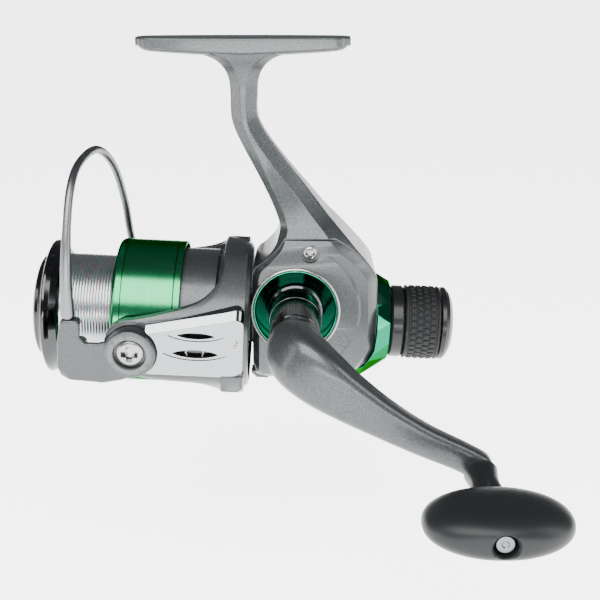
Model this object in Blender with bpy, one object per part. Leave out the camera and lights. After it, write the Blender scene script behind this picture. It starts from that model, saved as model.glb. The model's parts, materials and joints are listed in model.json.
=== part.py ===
"""Rear-drag spinning reel, size 20, built as it comes apart on a bench.

Run it with blender --background --python part.py, or from Blender's text editor.

World frame: the origin is the middle of the foot's top face, +Z points up out of the foot into the rod, and
+X runs along the foot to the rear, so the spool is towards -X and the handle is on the -Y side. Sizes are in
metres.

Two empties carry the pieces. housing_frame stands where the main shaft passes under the handle's axis, level
with the foot. shaft_frame stands in the same place and leans by SHAFT_TILT, so that its X axis is the main
shaft. The rotor, bail, crank, knob and lever have empties of their own on their joints' axes.
"""
import math

import bmesh
import bpy
from mathutils import Vector

MM = 0.001

# Fits
GAP = 0.3 * MM                      # between pieces that touch or slide

# Overall sizes
FOOT_LENGTH = 63.5 * MM
FOOT_WIDTH = 16.0 * MM
FOOT_THICK = 5.3 * MM               # at the stem
FOOT_TIP_THICK = 3.7 * MM
SHAFT_DROP = 88.0 * MM              # foot's top face to the main shaft, under the handle's axis
CRANK_FROM_FOOT = 15.4 * MM         # handle's axis behind the foot's middle
SHAFT_TILT = math.radians(2.8)      # the spool end is raised
CRANK_RISE = 7.2 * MM               # handle's axis above the main shaft
ROTOR_REST = math.radians(6.5)      # how far the near arm hangs low

# Housing
BODY_HALF = 16.0 * MM               # half of the width at the dish
BODY_FRONT = 13.4 * MM              # ahead of the handle's axis
BODY_REAR = 25.3 * MM
BODY_BOTTOM = 17.0 * MM
WALL = 2.0 * MM
SEAM_HEIGHT = 29.4 * MM             # side cover's top edge above the main shaft
COVER_THICK = 3.2 * MM
STEM_WIDTH = 8.1 * MM               # seen from the side, at the neck
STEM_DEPTH = 9.0 * MM               # seen from the front, at the neck
SNOUT_RADIUS = 8.6 * MM
SNOUT_REACH = 5.1 * MM

# Main shaft and pinion
SHAFT_RADIUS = 2.0 * MM
SHAFT_BORE = SHAFT_RADIUS + GAP
PINION_TUBE = 3.2 * MM
PINION_TIP = 4.2 * MM
PINION_TEETH = 8
DRIVE_TEETH = 41
DRIVE_RADIUS = 11.1 * MM
GEAR_SHAFT_RADIUS = 3.6 * MM
ROD_RADIUS = 2.3 * MM
BEARING_RADIUS = 6.6 * MM
BEARING_THICK = 2.6 * MM

# Spool crosswind
OSC_MODULE = 0.75 * MM
OSC_SMALL_TEETH = 14
OSC_LARGE_TEETH = 22
OSC_AXIS_BACK = 8.0 * MM
PEG_CIRCLE = 5.5 * MM
SLIDER_BACK = 2.5 * MM              # slider's middle behind the oscillation gear's axis at rest
PEG_RADIUS = 1.3 * MM
AXLE_RADIUS = 1.5 * MM
OSC_PLANE = 5.6 * MM                # near side of the main shaft
OSC_DISTANCE = OSC_MODULE * (OSC_SMALL_TEETH + OSC_LARGE_TEETH) / 2
OSC_DROP = math.sqrt(OSC_DISTANCE ** 2 - OSC_AXIS_BACK ** 2)
OSC_PLACE = (OSC_AXIS_BACK, CRANK_RISE - OSC_DROP)
GUIDE_RADIUS = 1.2 * MM
GUIDE_PLACE = (5.2 * MM, -8.4 * MM) # (y, z) of the slider's guide rod

# Anti-reverse
RATCHET_TEETH = 12
RATCHET_TIP = 4.6 * MM
LEVER_PIN = 1.4 * MM
LEVER_PLACE = (0.0, -11.6 * MM)     # (y, z) of the lever's axis
LEVER_HALF = 2.6 * MM               # half of the thumb tab's width
LEVER_CLEAR = 1.6 * MM              # under the belly, so that the tab clears it as it swings

# Rotor and bail
ROTOR_RADIUS = 20.6 * MM
FLANGE_RADIUS = 25.0 * MM
ROTOR_FRONT = 45.0 * MM
ROTOR_REAR = BODY_FRONT + 1.6 * MM
ARM_THICK = 2.9 * MM
ARM_HALF = 9.6 * MM
ARM_DROP = 1.0 * MM                 # how much deeper the arm's lower edge is than its upper
ARM_INSIDE = 0.7 * MM               # from the spool's skirt to the arms
PIVOT_FORWARD = 49.0 * MM
BAIL_BOSS = 7.7 * MM
BAIL_PLATE = 4.4 * MM
ROLLER_FORWARD = 18.0 * MM          # ahead of the bail's pivot
WIRE_RADIUS = 1.25 * MM
SLEEVE_RADIUS = 2.1 * MM
BAIL_HEIGHT = 51.0 * MM
PIVOT_RADIUS = 1.6 * MM
COVER_FRONT = 41.2 * MM
COVER_RISE = 2.4 * MM               # chrome cover's height over the arm
COVER_ROOF = 0.7 * MM
ARM_SCREW_X = -17.0 * MM
ROLLER_TOP = 8.6 * MM
ROLLER_RADIUS = 2.0 * MM
ROLLER_PIN = 0.8 * MM

# Spool
LIP_RADIUS = 20.6 * MM
ARBOR_RADIUS = 17.1 * MM
SKIRT_RADIUS = 23.6 * MM
SKIRT_FRONT = 56.0 * MM
SKIRT_REAR = 34.6 * MM
ARBOR_FRONT = 71.0 * MM
SPOOL_FRONT = 81.3 * MM
CAP_RADIUS = 16.2 * MM
BUTTON_RADIUS = 5.0 * MM
BUTTON_TRAVEL = 0.8 * MM
HUB_RADIUS = 5.5 * MM
HUB_SETBACK = 5.0 * MM              # spool hub's front behind the cap's face

# What follows from the sizes above
ARM_INNER = SKIRT_RADIUS + ARM_INSIDE
ARM_FACE = ARM_INNER + ARM_THICK    # outside of the rotor's arms
BAIL_BASE = ARM_FACE + GAP
BAIL_FACE = BAIL_BASE + BAIL_PLATE
ROLLER_AXIS = (-ROLLER_FORWARD, -BAIL_BASE - 0.7 * MM, 0)

# Handle
BOSS_RADIUS = 7.9 * MM
BOSS_REACH = 26.0 * MM              # from the middle of the reel
COLLAR_RADIUS = 7.6 * MM
COLLAR_REACH = 44.0 * MM
DISH_RADIUS = 13.4 * MM
DISH_INNER = 8.8 * MM
DISH_DEPTH = 2.2 * MM
SCREW_SINK = 1.5 * MM                # from the side cover's face down to its screws' heads
SCREW_SHANK = 1.4 * MM
COVER_SCREWS = ((4.5 * MM, 25.2 * MM), (6.0 * MM, -12.0 * MM))
POST_RADIUS = 1.7 * MM
HANDLE_LENGTH = 58.5 * MM
HANDLE_REACH = 60.0 * MM
HANDLE_ANGLE = math.radians(30.5)   # how far the handle points below level
KNOB_WIDTH = 38.0 * MM
KNOB_DEPTH = 24.0 * MM
KNOB_THICK = 13.0 * MM
KNOB_REACH = 90.0 * MM              # knob's middle from the middle of the reel

# Rear drag
DRAG_FRONT = 30.0 * MM
DRAG_RADIUS = 11.9 * MM
COLLAR_LENGTH = 4.5 * MM
GRIP_LENGTH = 11.3 * MM
DRAG_CAP_LENGTH = 4.0 * MM
WASHER_RADIUS = 8.6 * MM
WASHER_THICK = 0.8 * MM


def clear_scene():
    for thing in list(bpy.data.objects):
        bpy.data.objects.remove(thing, do_unlink=True)


def paint(name, colour, roughness, metallic):
    """A Principled material with one colour."""
    made = bpy.data.materials.new(name)
    made.use_nodes = True
    shader = made.node_tree.nodes["Principled BSDF"]
    shader.inputs["Base Color"].default_value = (*colour, 1.0)
    shader.inputs["Roughness"].default_value = roughness
    shader.inputs["Metallic"].default_value = metallic
    return made


def paints():
    """The reel's finishes."""
    return {
        "silver": paint("silver_paint", (0.22, 0.235, 0.24), 0.35, 0.6),
        "green": paint("green_anodised", (0.02, 0.36, 0.12), 0.2, 1.0),
        "chrome": paint("chrome_plate", (0.8, 0.8, 0.8), 0.08, 1.0),
        "dark": paint("black_chrome", (0.06, 0.06, 0.065), 0.15, 1.0),
        "steel": paint("bright_steel", (0.6, 0.6, 0.58), 0.25, 1.0),
        "brass": paint("gear_brass", (0.65, 0.45, 0.18), 0.3, 1.0),
        "zinc": paint("gear_zinc", (0.45, 0.45, 0.46), 0.4, 1.0),
        "alloy": paint("spool_alloy", (0.4, 0.4, 0.39), 0.3, 1.0),
        "rubber": paint("black_rubber", (0.02, 0.02, 0.022), 0.7, 0.0),
        "knob": paint("knob_plastic", (0.035, 0.042, 0.045), 0.45, 0.0),
        "black": paint("gloss_plastic", (0.015, 0.015, 0.016), 0.2, 0.0),
        "fibre": paint("drag_fibre", (0.12, 0.1, 0.08), 0.8, 0.0),
    }


def frame(name, parent=None, at=(0, 0, 0), turn=(0, 0, 0)):
    """An empty that other pieces are placed from."""
    made = bpy.data.objects.new(name, None)
    bpy.context.collection.objects.link(made)
    made.parent = parent
    made.location = at
    made.rotation_euler = turn
    return made


def keep(name, bm, finish, parent, smooth=35):
    """Makes an object from a bmesh, with its faces out."""
    bmesh.ops.remove_doubles(bm, verts=bm.verts, dist=1e-7)
    bmesh.ops.recalc_face_normals(bm, faces=bm.faces)
    mesh = bpy.data.meshes.new(name)
    bm.to_mesh(mesh)
    bm.free()
    mesh.shade_smooth()
    mesh.set_sharp_from_angle(angle=math.radians(smooth))
    made = bpy.data.objects.new(name, mesh)
    bpy.context.collection.objects.link(made)
    made.parent = parent
    if finish is not None:
        mesh.materials.append(finish)
    return made


def turned(name, finish, parent, outline, steps=24):
    """Spins an outline of (distance along X, radius) about X. Clear of the axis, it closes as a ring."""
    bm = bmesh.new()
    points = [bm.verts.new((x, 0, radius)) for x, radius in outline]
    edges = [bm.edges.new(pair) for pair in zip(points, points[1:])]
    if min(radius for x, radius in outline) > 0:
        edges.append(bm.edges.new((points[-1], points[0])))
    bmesh.ops.spin(
        bm, geom=points + edges, cent=(0, 0, 0), axis=(1, 0, 0), angle=math.tau, steps=steps, use_merge=True
    )
    return keep(name, bm, finish, parent)


def tube(name, finish, parent, x0, x1, inner, outer, steps=18):
    """A plain ring between two places along X."""
    return turned(name, finish, parent, [(x0, inner), (x0, outer), (x1, outer), (x1, inner)], steps)


def rod(name, finish, parent, x0, x1, radius, steps=18):
    """A plain round bar along X."""
    return turned(name, finish, parent, [(x0, 0), (x0, radius), (x1, radius), (x1, 0)], steps)


def prism(name, finish, parent, outline, y0, y1):
    """Extrudes an outline of (x, z) from y0 to y1."""
    bm = bmesh.new()
    face = bm.faces.new([bm.verts.new((x, y0, z)) for x, z in outline])
    grown = bmesh.ops.extrude_face_region(bm, geom=[face])
    moved = [item for item in grown["geom"] if isinstance(item, bmesh.types.BMVert)]
    bmesh.ops.translate(bm, verts=moved, vec=(0, y1 - y0, 0))
    return keep(name, bm, finish, parent)


def lofted(name, finish, parent, rings, smooth=35):
    """Skins a row of rings that have the same number of points, and caps both ends."""
    bm = bmesh.new()
    rows = [[bm.verts.new(point) for point in ring] for ring in rings]
    for row, after in zip(rows, rows[1:]):
        for i, corner in enumerate(row):
            j = (i + 1) % len(row)
            bm.faces.new((corner, row[j], after[j], after[i]))
    bm.faces.new(rows[0])
    bm.faces.new(rows[-1])
    return keep(name, bm, finish, parent, smooth)


def box(name, finish, parent, low, high):
    """A box from its lowest to its highest corner."""
    outline = [(low[0], low[2]), (high[0], low[2]), (high[0], high[2]), (low[0], high[2])]
    return prism(name, finish, parent, outline, low[1], high[1])


def arc(x, z, radius, start, end, steps):
    """Points on an arc, by angles in degrees from +X towards +Z."""
    angles = [math.radians(start + (end - start) * i / steps) for i in range(steps + 1)]
    return [(x + radius * math.cos(a), z + radius * math.sin(a)) for a in angles]


def along_y(thing, at=(0, 0, 0)):
    """Turns a piece made about X so that its X points out of the handle's side, -Y."""
    thing.rotation_euler = (0, 0, -math.pi / 2)
    thing.location = at
    return thing


def beside(thing, place):
    """Moves a piece made about X to another (y, z)."""
    thing.location = (0, *place)
    return thing


def boolean(target, tool, operation):
    """Adds a Boolean, and leaves its other mesh as a hidden guide."""
    step = target.modifiers.new(tool.name, "BOOLEAN")
    step.operation = operation
    step.object = tool
    step.solver = "EXACT"
    tool.hide_render = True
    tool.display_type = "WIRE"


def cut(target, *tools):
    for tool in tools:
        boolean(target, tool, "DIFFERENCE")


def join(target, *tools):
    for tool in tools:
        boolean(target, tool, "UNION")


def gear_outline(teeth, root, tip, turn=0.0, fill=0.42):
    """A spur gear's outline about the origin. fill is the tip's share of a tooth's pitch at its middle."""
    outline = []
    for tooth in range(teeth):
        for share, radius in ((-0.5, root), (-0.22, tip), (0.22, tip), (0.5, root)):
            angle = math.tau * (tooth + share * fill / 0.5 * 0.72) / teeth + turn
            outline.append((radius * math.cos(angle), radius * math.sin(angle)))
    return outline


# Housing ---------------------------------------------------------------------------------------------------

def body_outline(grow=0.0):
    """The housing's side view below the foot, level with it, in (x, z) from the crank station."""
    front, rear, bottom = -BODY_FRONT - grow, BODY_REAR + grow, -BODY_BOTTOM - grow
    neck = -CRANK_FROM_FOOT
    half = STEM_WIDTH / 2 + grow
    top = SHAFT_DROP - FOOT_THICK / 2
    shoulder = SEAM_HEIGHT - 12.6 * MM
    return [
        (front, bottom + 3 * MM), (front + 3 * MM, bottom), (rear - 13 * MM, bottom),
        *arc(rear - 15 * MM, bottom + 15 * MM, 15 * MM, -78, 0, 5),
        (rear, shoulder), (17.2 * MM + grow, 27.5 * MM), (9.9 * MM + grow, 35.7 * MM),
        (-1.9 * MM + grow, 50.3 * MM),
        (-9.4 * MM + grow, 60.5 * MM), (neck + half, 66 * MM), (neck + half, top),
        (neck - half, top), (neck - half, 64 * MM), (-11.2 * MM - grow, 46.9 * MM),
        (-5.6 * MM - grow, 35 * MM),
        (-4.8 * MM - grow, 31 * MM), (-5.8 * MM - grow, 27 * MM), (-10.1 * MM - grow, 21.8 * MM),
        (front, 18.8 * MM),
    ]


def width_outline(shrink=0.0):
    """The housing's front view, a closed outline in (z, y half-width) pairs mirrored to both sides."""
    full = BODY_HALF - shrink
    neck = STEM_DEPTH / 2 - shrink
    side = [
        (SHAFT_DROP, neck), (62 * MM, neck), (44 * MM, neck + 2 * MM), (33 * MM, full - 5 * MM),
        (26 * MM, full - 1 * MM),
        (16 * MM, full), (-6 * MM, full), (-13 * MM, full - 2.5 * MM),
        (-BODY_BOTTOM - MM + shrink, full - 6.5 * MM),
    ]
    return [(z, -half) for z, half in side] + [(z, half) for z, half in reversed(side)]


def front_view_solid(name, parent, shrink=0.0):
    """The front view carried along X, to cut the side view down to the housing's width."""
    reach = BODY_REAR + 20 * MM
    bm = bmesh.new()
    face = bm.faces.new([bm.verts.new((-reach, y, z)) for z, y in width_outline(shrink)])
    grown = bmesh.ops.extrude_face_region(bm, geom=[face])
    moved = [item for item in grown["geom"] if isinstance(item, bmesh.types.BMVert)]
    bmesh.ops.translate(bm, verts=moved, vec=(2 * reach, 0, 0))
    return keep(name, bm, None, parent)


def cover_region(name, parent, lower):
    """What the side cover takes of the housing: the near side, below the seam."""
    edge = -BODY_HALF + COVER_THICK + lower
    return box(name, None, parent, (-0.05, -0.05, -0.05), (0.05, edge, SEAM_HEIGHT - GAP / 2 + lower))


def foot_rings():
    """The foot from its front tip to its rear tip, thinner and narrower at the tips."""
    rings = []
    for share in (-1.0, -0.97, -0.75, -0.4, 0.0, 0.4, 0.75, 0.97, 1.0):
        x = share * FOOT_LENGTH / 2
        wide = FOOT_WIDTH / 2 * (1 - 0.28 * abs(share) ** 2.5)
        thick = FOOT_THICK - (FOOT_THICK - FOOT_TIP_THICK) * abs(share) ** 1.5
        if abs(share) == 1:
            wide -= 2 * MM
            thick -= 0.6 * MM
        edge = 0.8 * MM
        rings.append([
            Vector((x, -wide, -edge)), Vector((x, -wide + edge, 0)), Vector((x, wide - edge, 0)),
            Vector((x, wide, -edge)), Vector((x, wide, -thick + edge)), Vector((x, wide - 2 * edge, -thick)),
            Vector((x, -wide + 2 * edge, -thick)), Vector((x, -wide, -thick + edge)),
        ])
    return rings


def body_housing(level, shaft, finishes):
    """Foot, stem and gear case in one casting, open on the handle's side."""
    case = prism("body_housing", finishes["silver"], level, body_outline(), -BODY_HALF - MM, BODY_HALF + MM)
    boolean(case, front_view_solid("housing_width", level), "INTERSECT")
    foot = lofted("foot_blank", None, None, foot_rings())
    join(case, foot)
    cavity = [
        (-BODY_FRONT + WALL, -BODY_BOTTOM + WALL + MM), (12 * MM, -BODY_BOTTOM + WALL + MM),
        (15.5 * MM, -13.2 * MM), (19.5 * MM, -9.5 * MM), (20.5 * MM, -6 * MM),
        (20.5 * MM, 16 * MM), (12 * MM, SEAM_HEIGHT - 5 * MM), (-3 * MM, SEAM_HEIGHT - 5 * MM),
        (-BODY_FRONT + WALL, 16.5 * MM),
    ]
    snout = rod("snout_blank", None, shaft, -BODY_FRONT - SNOUT_REACH, -BODY_FRONT + 1.2 * MM, SNOUT_RADIUS)
    join(case, snout)
    cut(case, prism("gear_cavity", None, level, cavity, -BODY_HALF - 2 * MM, BODY_HALF - WALL - 0.5 * MM))
    seat = ring_boss("far_seat", level, BODY_HALF - WALL - 4.4 * MM, BODY_HALF - WALL)
    join(case, seat)
    at_crank = (0, 0, CRANK_RISE)
    inside = BODY_FRONT
    cut(
        case,
        cover_region("cover_space", level, GAP),
        turned("pinion_way", None, shaft, [
            (-BODY_FRONT - SNOUT_REACH - MM, 0), (-BODY_FRONT - SNOUT_REACH - MM, BEARING_RADIUS + GAP),
            (-BODY_FRONT - 1.4 * MM, BEARING_RADIUS + GAP), (-BODY_FRONT - 1.4 * MM, PINION_TUBE + 4 * GAP),
            (-BODY_FRONT + 4 * MM, PINION_TUBE + 4 * GAP), (-BODY_FRONT + 4 * MM, 0),
        ]),
        rod("drag_bore", None, shaft, 19 * MM, BODY_REAR + 2 * MM, WASHER_RADIUS + 1.3 * GAP),
        along_y(rod("far_rod_way", None, level, -BODY_HALF - MM, 0, ROD_RADIUS + 2 * GAP), at_crank),
        beside(
            rod("guide_hole", None, shaft, 0.5 * MM - inside, 22.5 * MM, GUIDE_RADIUS + GAP, 12),
            GUIDE_PLACE
        ),
        lever_slot(shaft),
        beside(
            rod("lever_hole", None, shaft, -inside - MM, 3 * MM - inside, LEVER_PIN + GAP, 12),
            LEVER_PLACE
        ),
    )


def ring_boss(name, level, y0, y1):
    """A ring about the handle's axis that a gear bearing sits in."""
    made = tube(name, None, level, -y1, -y0, BEARING_RADIUS + GAP, BEARING_RADIUS + 1.6 * MM)
    return along_y(made, (0, 0, CRANK_RISE))


def lever_slot(shaft):
    """The opening in the housing's belly that the anti-reverse lever swings in."""
    return box(
        "lever_slot", None, shaft, (-10.6 * MM, -5.4 * MM, -BODY_BOTTOM - 3 * MM),
        (-6.6 * MM, 5.4 * MM, -13.0 * MM)
    )


def side_cover(level, shaft, finishes):
    cover = prism("side_cover", finishes["silver"], level, body_outline(), -BODY_HALF - MM, 0)
    boolean(cover, front_view_solid("cover_width", level), "INTERSECT")
    region = cover_region("cover_slab", level, -GAP / 2)
    boolean(cover, region, "INTERSECT")
    join(
        cover,
        ring_boss("near_seat", level, -BODY_HALF + COVER_THICK - MM, -BODY_HALF + COVER_THICK + 2.6 * MM)
    )
    dish = [
        (6 * MM, 0), (6 * MM, GEAR_SHAFT_RADIUS + GAP),
        (BODY_HALF - DISH_DEPTH - GAP, GEAR_SHAFT_RADIUS + GAP),
        (BODY_HALF - DISH_DEPTH - GAP, DISH_INNER + GAP), (BODY_HALF + GAP, DISH_RADIUS + 2 * GAP),
        (BODY_HALF + 2 * MM, DISH_RADIUS + 2 * GAP), (BODY_HALF + 2 * MM, 0),
    ]
    cut(cover, along_y(turned("dish_space", None, level, dish), (0, 0, CRANK_RISE)))
    for number, place in enumerate(COVER_SCREWS):
        seat = BODY_HALF - SCREW_SINK - GAP
        hole = [
            (seat - 5 * MM, 0), (seat - 5 * MM, 1.3 * MM), (seat, 1.3 * MM), (seat, 2.6 * MM),
            (seat + 6 * MM, 2.6 * MM), (seat + 6 * MM, 0)
        ]
        cut(cover, along_y(turned(f"screw_way_{number}", None, level, hole, 16), (place[0], 0, place[1])))


def cover_screws(level, finishes):
    """Counterbored screws, short of the housing's own holes."""
    for name, place in zip(("cover_screw_upper", "cover_screw_lower"), COVER_SCREWS):
        seat = BODY_HALF - SCREW_SINK
        tip = seat - SCREW_SHANK
        outline = [(tip, 0), (tip, 1.0 * MM), (seat, 1.0 * MM), (seat, 2.2 * MM),
                   (seat + 0.6 * MM, 2.0 * MM), (seat + 0.8 * MM, 0)]
        screw = turned(name, finishes["steel"], level, outline, 16)
        along_y(screw, (place[0], 0, place[1]))


def dish(level, finishes):
    """The green cone round the handle, with its silver rim."""
    y = BODY_HALF
    outline = [
        (y - DISH_DEPTH, GEAR_SHAFT_RADIUS + 1.6 * MM), (y - DISH_DEPTH, DISH_INNER),
        (y, DISH_RADIUS - 0.5 * MM),
        (y, DISH_RADIUS), (y + 0.4 * MM, DISH_RADIUS), (y + 0.4 * MM, DISH_RADIUS - 0.9 * MM),
        (y - DISH_DEPTH + 0.7 * MM, DISH_INNER - 0.5 * MM),
        (y - DISH_DEPTH + 0.7 * MM, GEAR_SHAFT_RADIUS + 1.6 * MM),
    ]
    along_y(turned("dish_ring", finishes["green"], level, outline), (0, 0, CRANK_RISE))


def handle_boss(level, finishes):
    """The fixed sleeve between the dish and the handle's collar."""
    start = BODY_HALF - DISH_DEPTH + 0.7 * MM + GAP
    made = tube(
        "handle_boss", finishes["dark"], level, start, BOSS_REACH, ROD_RADIUS + 1.5 * MM, BOSS_RADIUS, 24
    )
    along_y(made, (0, 0, CRANK_RISE))


def bearing(name, finish, parent, x0, inner, outer, thick=BEARING_THICK):
    """A shielded ball bearing, drawn as its ring with a groove in each face."""
    middle = (inner + outer) / 2
    deep = thick * 0.2
    band = (outer - inner) * 0.22
    outline = [
        (x0, inner), (x0, middle - band), (x0 + deep, middle - band), (x0 + deep, middle + band),
        (x0, middle + band),
        (x0, outer), (x0 + thick, outer), (x0 + thick, middle + band), (x0 + thick - deep, middle + band),
        (x0 + thick - deep, middle - band), (x0 + thick, middle - band), (x0 + thick, inner),
    ]
    return turned(name, finish, parent, outline, 14)


def bearings(level, shaft, finishes):
    steel = finishes["steel"]
    inner = GEAR_SHAFT_RADIUS + GAP
    near = bearing(
        "gear_bearing_near", steel, level, BODY_HALF - COVER_THICK - BEARING_THICK - GAP, inner,
        BEARING_RADIUS
    )
    far = bearing(
        "gear_bearing_far", steel, level, -(BODY_HALF - WALL - 0.5 * MM) + GAP, inner, BEARING_RADIUS
    )
    along_y(near, (0, 0, CRANK_RISE))
    along_y(far, (0, 0, CRANK_RISE))
    start = -BODY_FRONT - SNOUT_REACH + 0.3 * MM
    bearing("pinion_bearing", steel, shaft, start, PINION_TUBE + GAP, BEARING_RADIUS)
    plate = -BODY_FRONT - SNOUT_REACH - GAP
    tube(
        "bearing_plate", finishes["zinc"], shaft, plate - 0.7 * MM, plate, PINION_TUBE + 1.5 * MM,
        SNOUT_RADIUS
    )


def slider_guide(shaft, finishes):
    guide = rod(
        "slider_guide_rod", finishes["steel"], shaft, -BODY_FRONT + WALL + 0.4 * MM, 19.0 * MM, GUIDE_RADIUS,
        12
    )
    beside(guide, GUIDE_PLACE)


def rear_cover(level, shaft, finishes):
    """The green end of the housing, faceted, which tapers to the drag knob."""
    front, rear = 10 * MM, DRAG_FRONT - GAP
    inner = WASHER_RADIUS + 1.3 * GAP
    outline = [
        (front, inner), (front, BODY_BOTTOM + 0.6 * MM), (BODY_REAR - 4 * MM, BODY_BOTTOM),
        (rear, DRAG_RADIUS + 0.6 * MM),
        (rear, 3.4 * MM), (rear - 1.0 * MM, 3.4 * MM), (rear - 1.0 * MM, inner),
    ]
    cover = turned("rear_cover", finishes["green"], shaft, outline, 20)
    cut(cover, prism("housing_end", None, level, body_outline(GAP), -0.04, 0.04))


# Crank -----------------------------------------------------------------------------------------------------

def face_gear(crank, finishes):
    """The drive gear: a disc whose ring of teeth faces the pinion, V-shaped and radial."""
    root, tip = -(PINION_TIP + 1.7 * MM), -(PINION_TIP + GAP)
    inside = DRIVE_RADIUS - 2.4 * MM
    bm = bmesh.new()
    rows = []
    for step in range(2 * DRIVE_TEETH):
        angle = math.tau * step / (2 * DRIVE_TEETH)
        face = tip if step % 2 else root
        section = [
            (root - 2.4 * MM, GEAR_SHAFT_RADIUS + GAP), (root - 2.4 * MM, DRIVE_RADIUS), (face, DRIVE_RADIUS),
            (face, inside), (root - 0.9 * MM, inside - 0.6 * MM), (root - 0.9 * MM, GEAR_SHAFT_RADIUS + GAP),
        ]
        rows.append([bm.verts.new((x, r * math.cos(angle), r * math.sin(angle))) for x, r in section])
    for row, after in zip(rows, rows[1:] + rows[:1]):
        for i, corner in enumerate(row):
            j = (i + 1) % len(row)
            bm.faces.new((corner, row[j], after[j], after[i]))
    keep("drive_gear", bm, finishes["zinc"], crank)


def crank_pieces(crank, finishes):
    """What turns with the handle. The crank's X points out of the handle's side."""
    face_gear(crank, finishes)
    root = PINION_TIP + 1.7 * MM
    bore = ROD_RADIUS + GAP
    far = -(BODY_HALF - WALL - 0.9 * MM)
    near = BODY_HALF - COVER_THICK - GAP
    gear_face = -root - 2.4 * MM - GAP
    outline = [
        (far, bore), (far, GEAR_SHAFT_RADIUS), (gear_face - MM, GEAR_SHAFT_RADIUS),
        (gear_face - MM, 5.4 * MM),
        (gear_face, 5.4 * MM), (gear_face, GEAR_SHAFT_RADIUS), (near, GEAR_SHAFT_RADIUS), (near, bore),
    ]
    turned("gear_shaft", finishes["steel"], crank, outline, 24)
    small = gear(
        "small_drive_gear", finishes["brass"], crank, OSC_SMALL_TEETH, GEAR_SHAFT_RADIUS + GAP, small_turn()
    )
    small.location = (OSC_PLANE, 0, 0)
    handle_rod = rod(
        "handle_rod", finishes["steel"], crank, -BODY_HALF - 4 * MM, COLLAR_REACH - 2 * MM, ROD_RADIUS, 6
    )
    handle_rod.data.set_sharp_from_angle(angle=math.radians(20))
    collar = [
        (BOSS_REACH + GAP, ROD_RADIUS + GAP), (BOSS_REACH + GAP, COLLAR_RADIUS),
        (COLLAR_REACH, COLLAR_RADIUS),
        (COLLAR_REACH, ROD_RADIUS + GAP),
    ]
    turned("handle_collar", finishes["dark"], crank, collar)
    end = -BODY_HALF - GAP
    cap = [
        (end, ROD_RADIUS + GAP), (end, 7.0 * MM), (end - 1.2 * MM, 7.4 * MM), (end - 6.0 * MM, 6.8 * MM),
        (end - 7.2 * MM, 5.6 * MM), (end - 7.5 * MM, 0), (end - 4.5 * MM, 0),
        (end - 4.5 * MM, ROD_RADIUS + GAP),
    ]
    lock_cap("handle_lock_cap", cap, crank, finishes["black"], 20)


def lock_cap(name, outline, parent, finish, steps):
    """The blind cap on the handle rod's far end: its outline touches the axis twice, outside and in."""
    bm = bmesh.new()
    points = [bm.verts.new((x, 0, radius)) for x, radius in outline]
    edges = [bm.edges.new(pair) for pair in zip(points, points[1:]) if pair[0].co.z + pair[1].co.z > 1e-9]
    edges.append(bm.edges.new((points[-1], points[0])))
    bmesh.ops.spin(
        bm, geom=points + edges, cent=(0, 0, 0), axis=(1, 0, 0), angle=math.tau, steps=steps, use_merge=True
    )
    return keep(name, bm, finish, parent)


def gear(name, finish, parent, teeth, bore, turn=0.0, thick=1.8 * MM, tip=None):
    """A spur gear about X, from x = 0 to its thickness."""
    pitch = OSC_MODULE * teeth / 2
    outline = gear_outline(teeth, pitch - 0.95 * MM, tip or pitch + 0.45 * MM, turn)
    count = len(outline)
    spokes = [math.tau * (i - 1.5) / count + turn for i in range(count)]
    hole = [(bore * math.cos(angle), bore * math.sin(angle)) for angle in spokes]
    bm = bmesh.new()
    loops = []
    for x, points in ((0, outline), (thick, outline), (thick, hole), (0, hole)):
        loops.append([bm.verts.new((x, y, z)) for y, z in points])
    for loop, after in zip(loops, loops[1:] + loops[:1]):
        for i, corner in enumerate(loop):
            j = (i + 1) % count
            bm.faces.new((corner, loop[j], after[j], after[i]))
    return keep(name, bm, finish, parent, smooth=20)


def small_turn():
    """Turns the small gear so that a tooth points at the large gear's axis."""
    return math.atan2(-OSC_DROP, OSC_AXIS_BACK)


def section_ring(centre, along, wide_way, wide, thick, points=16, power=2.4):
    """A rounded-square ring across a path, wide one way and thick the other."""
    along = along.normalized()
    side = (wide_way - along * wide_way.dot(along)).normalized()
    up = along.cross(side)
    ring = []
    for i in range(points):
        angle = math.tau * (i + 0.5) / points
        c, s = math.cos(angle), math.sin(angle)
        c = math.copysign(abs(c) ** (2 / power), c)
        s = math.copysign(abs(s) ** (2 / power), s)
        ring.append(centre + side * (wide * c) + up * (thick * s))
    return ring


def smooth_path(points, share):
    """A place on the Catmull-Rom curve through the points, for a share of 0 to 1 along it."""
    spans = len(points) - 1
    at = min(share * spans, spans - 1e-9)
    i = int(at)
    t = at - i
    p0, p1 = points[max(i - 1, 0)], points[i]
    p2, p3 = points[i + 1], points[min(i + 2, spans)]
    square, cube = 2 * p0 - 5 * p1 + 4 * p2 - p3, 3 * p1 - p0 - 3 * p2 + p3
    return 0.5 * (2 * p1 + (p2 - p0) * t + square * t ** 2 + cube * t ** 3)


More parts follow.
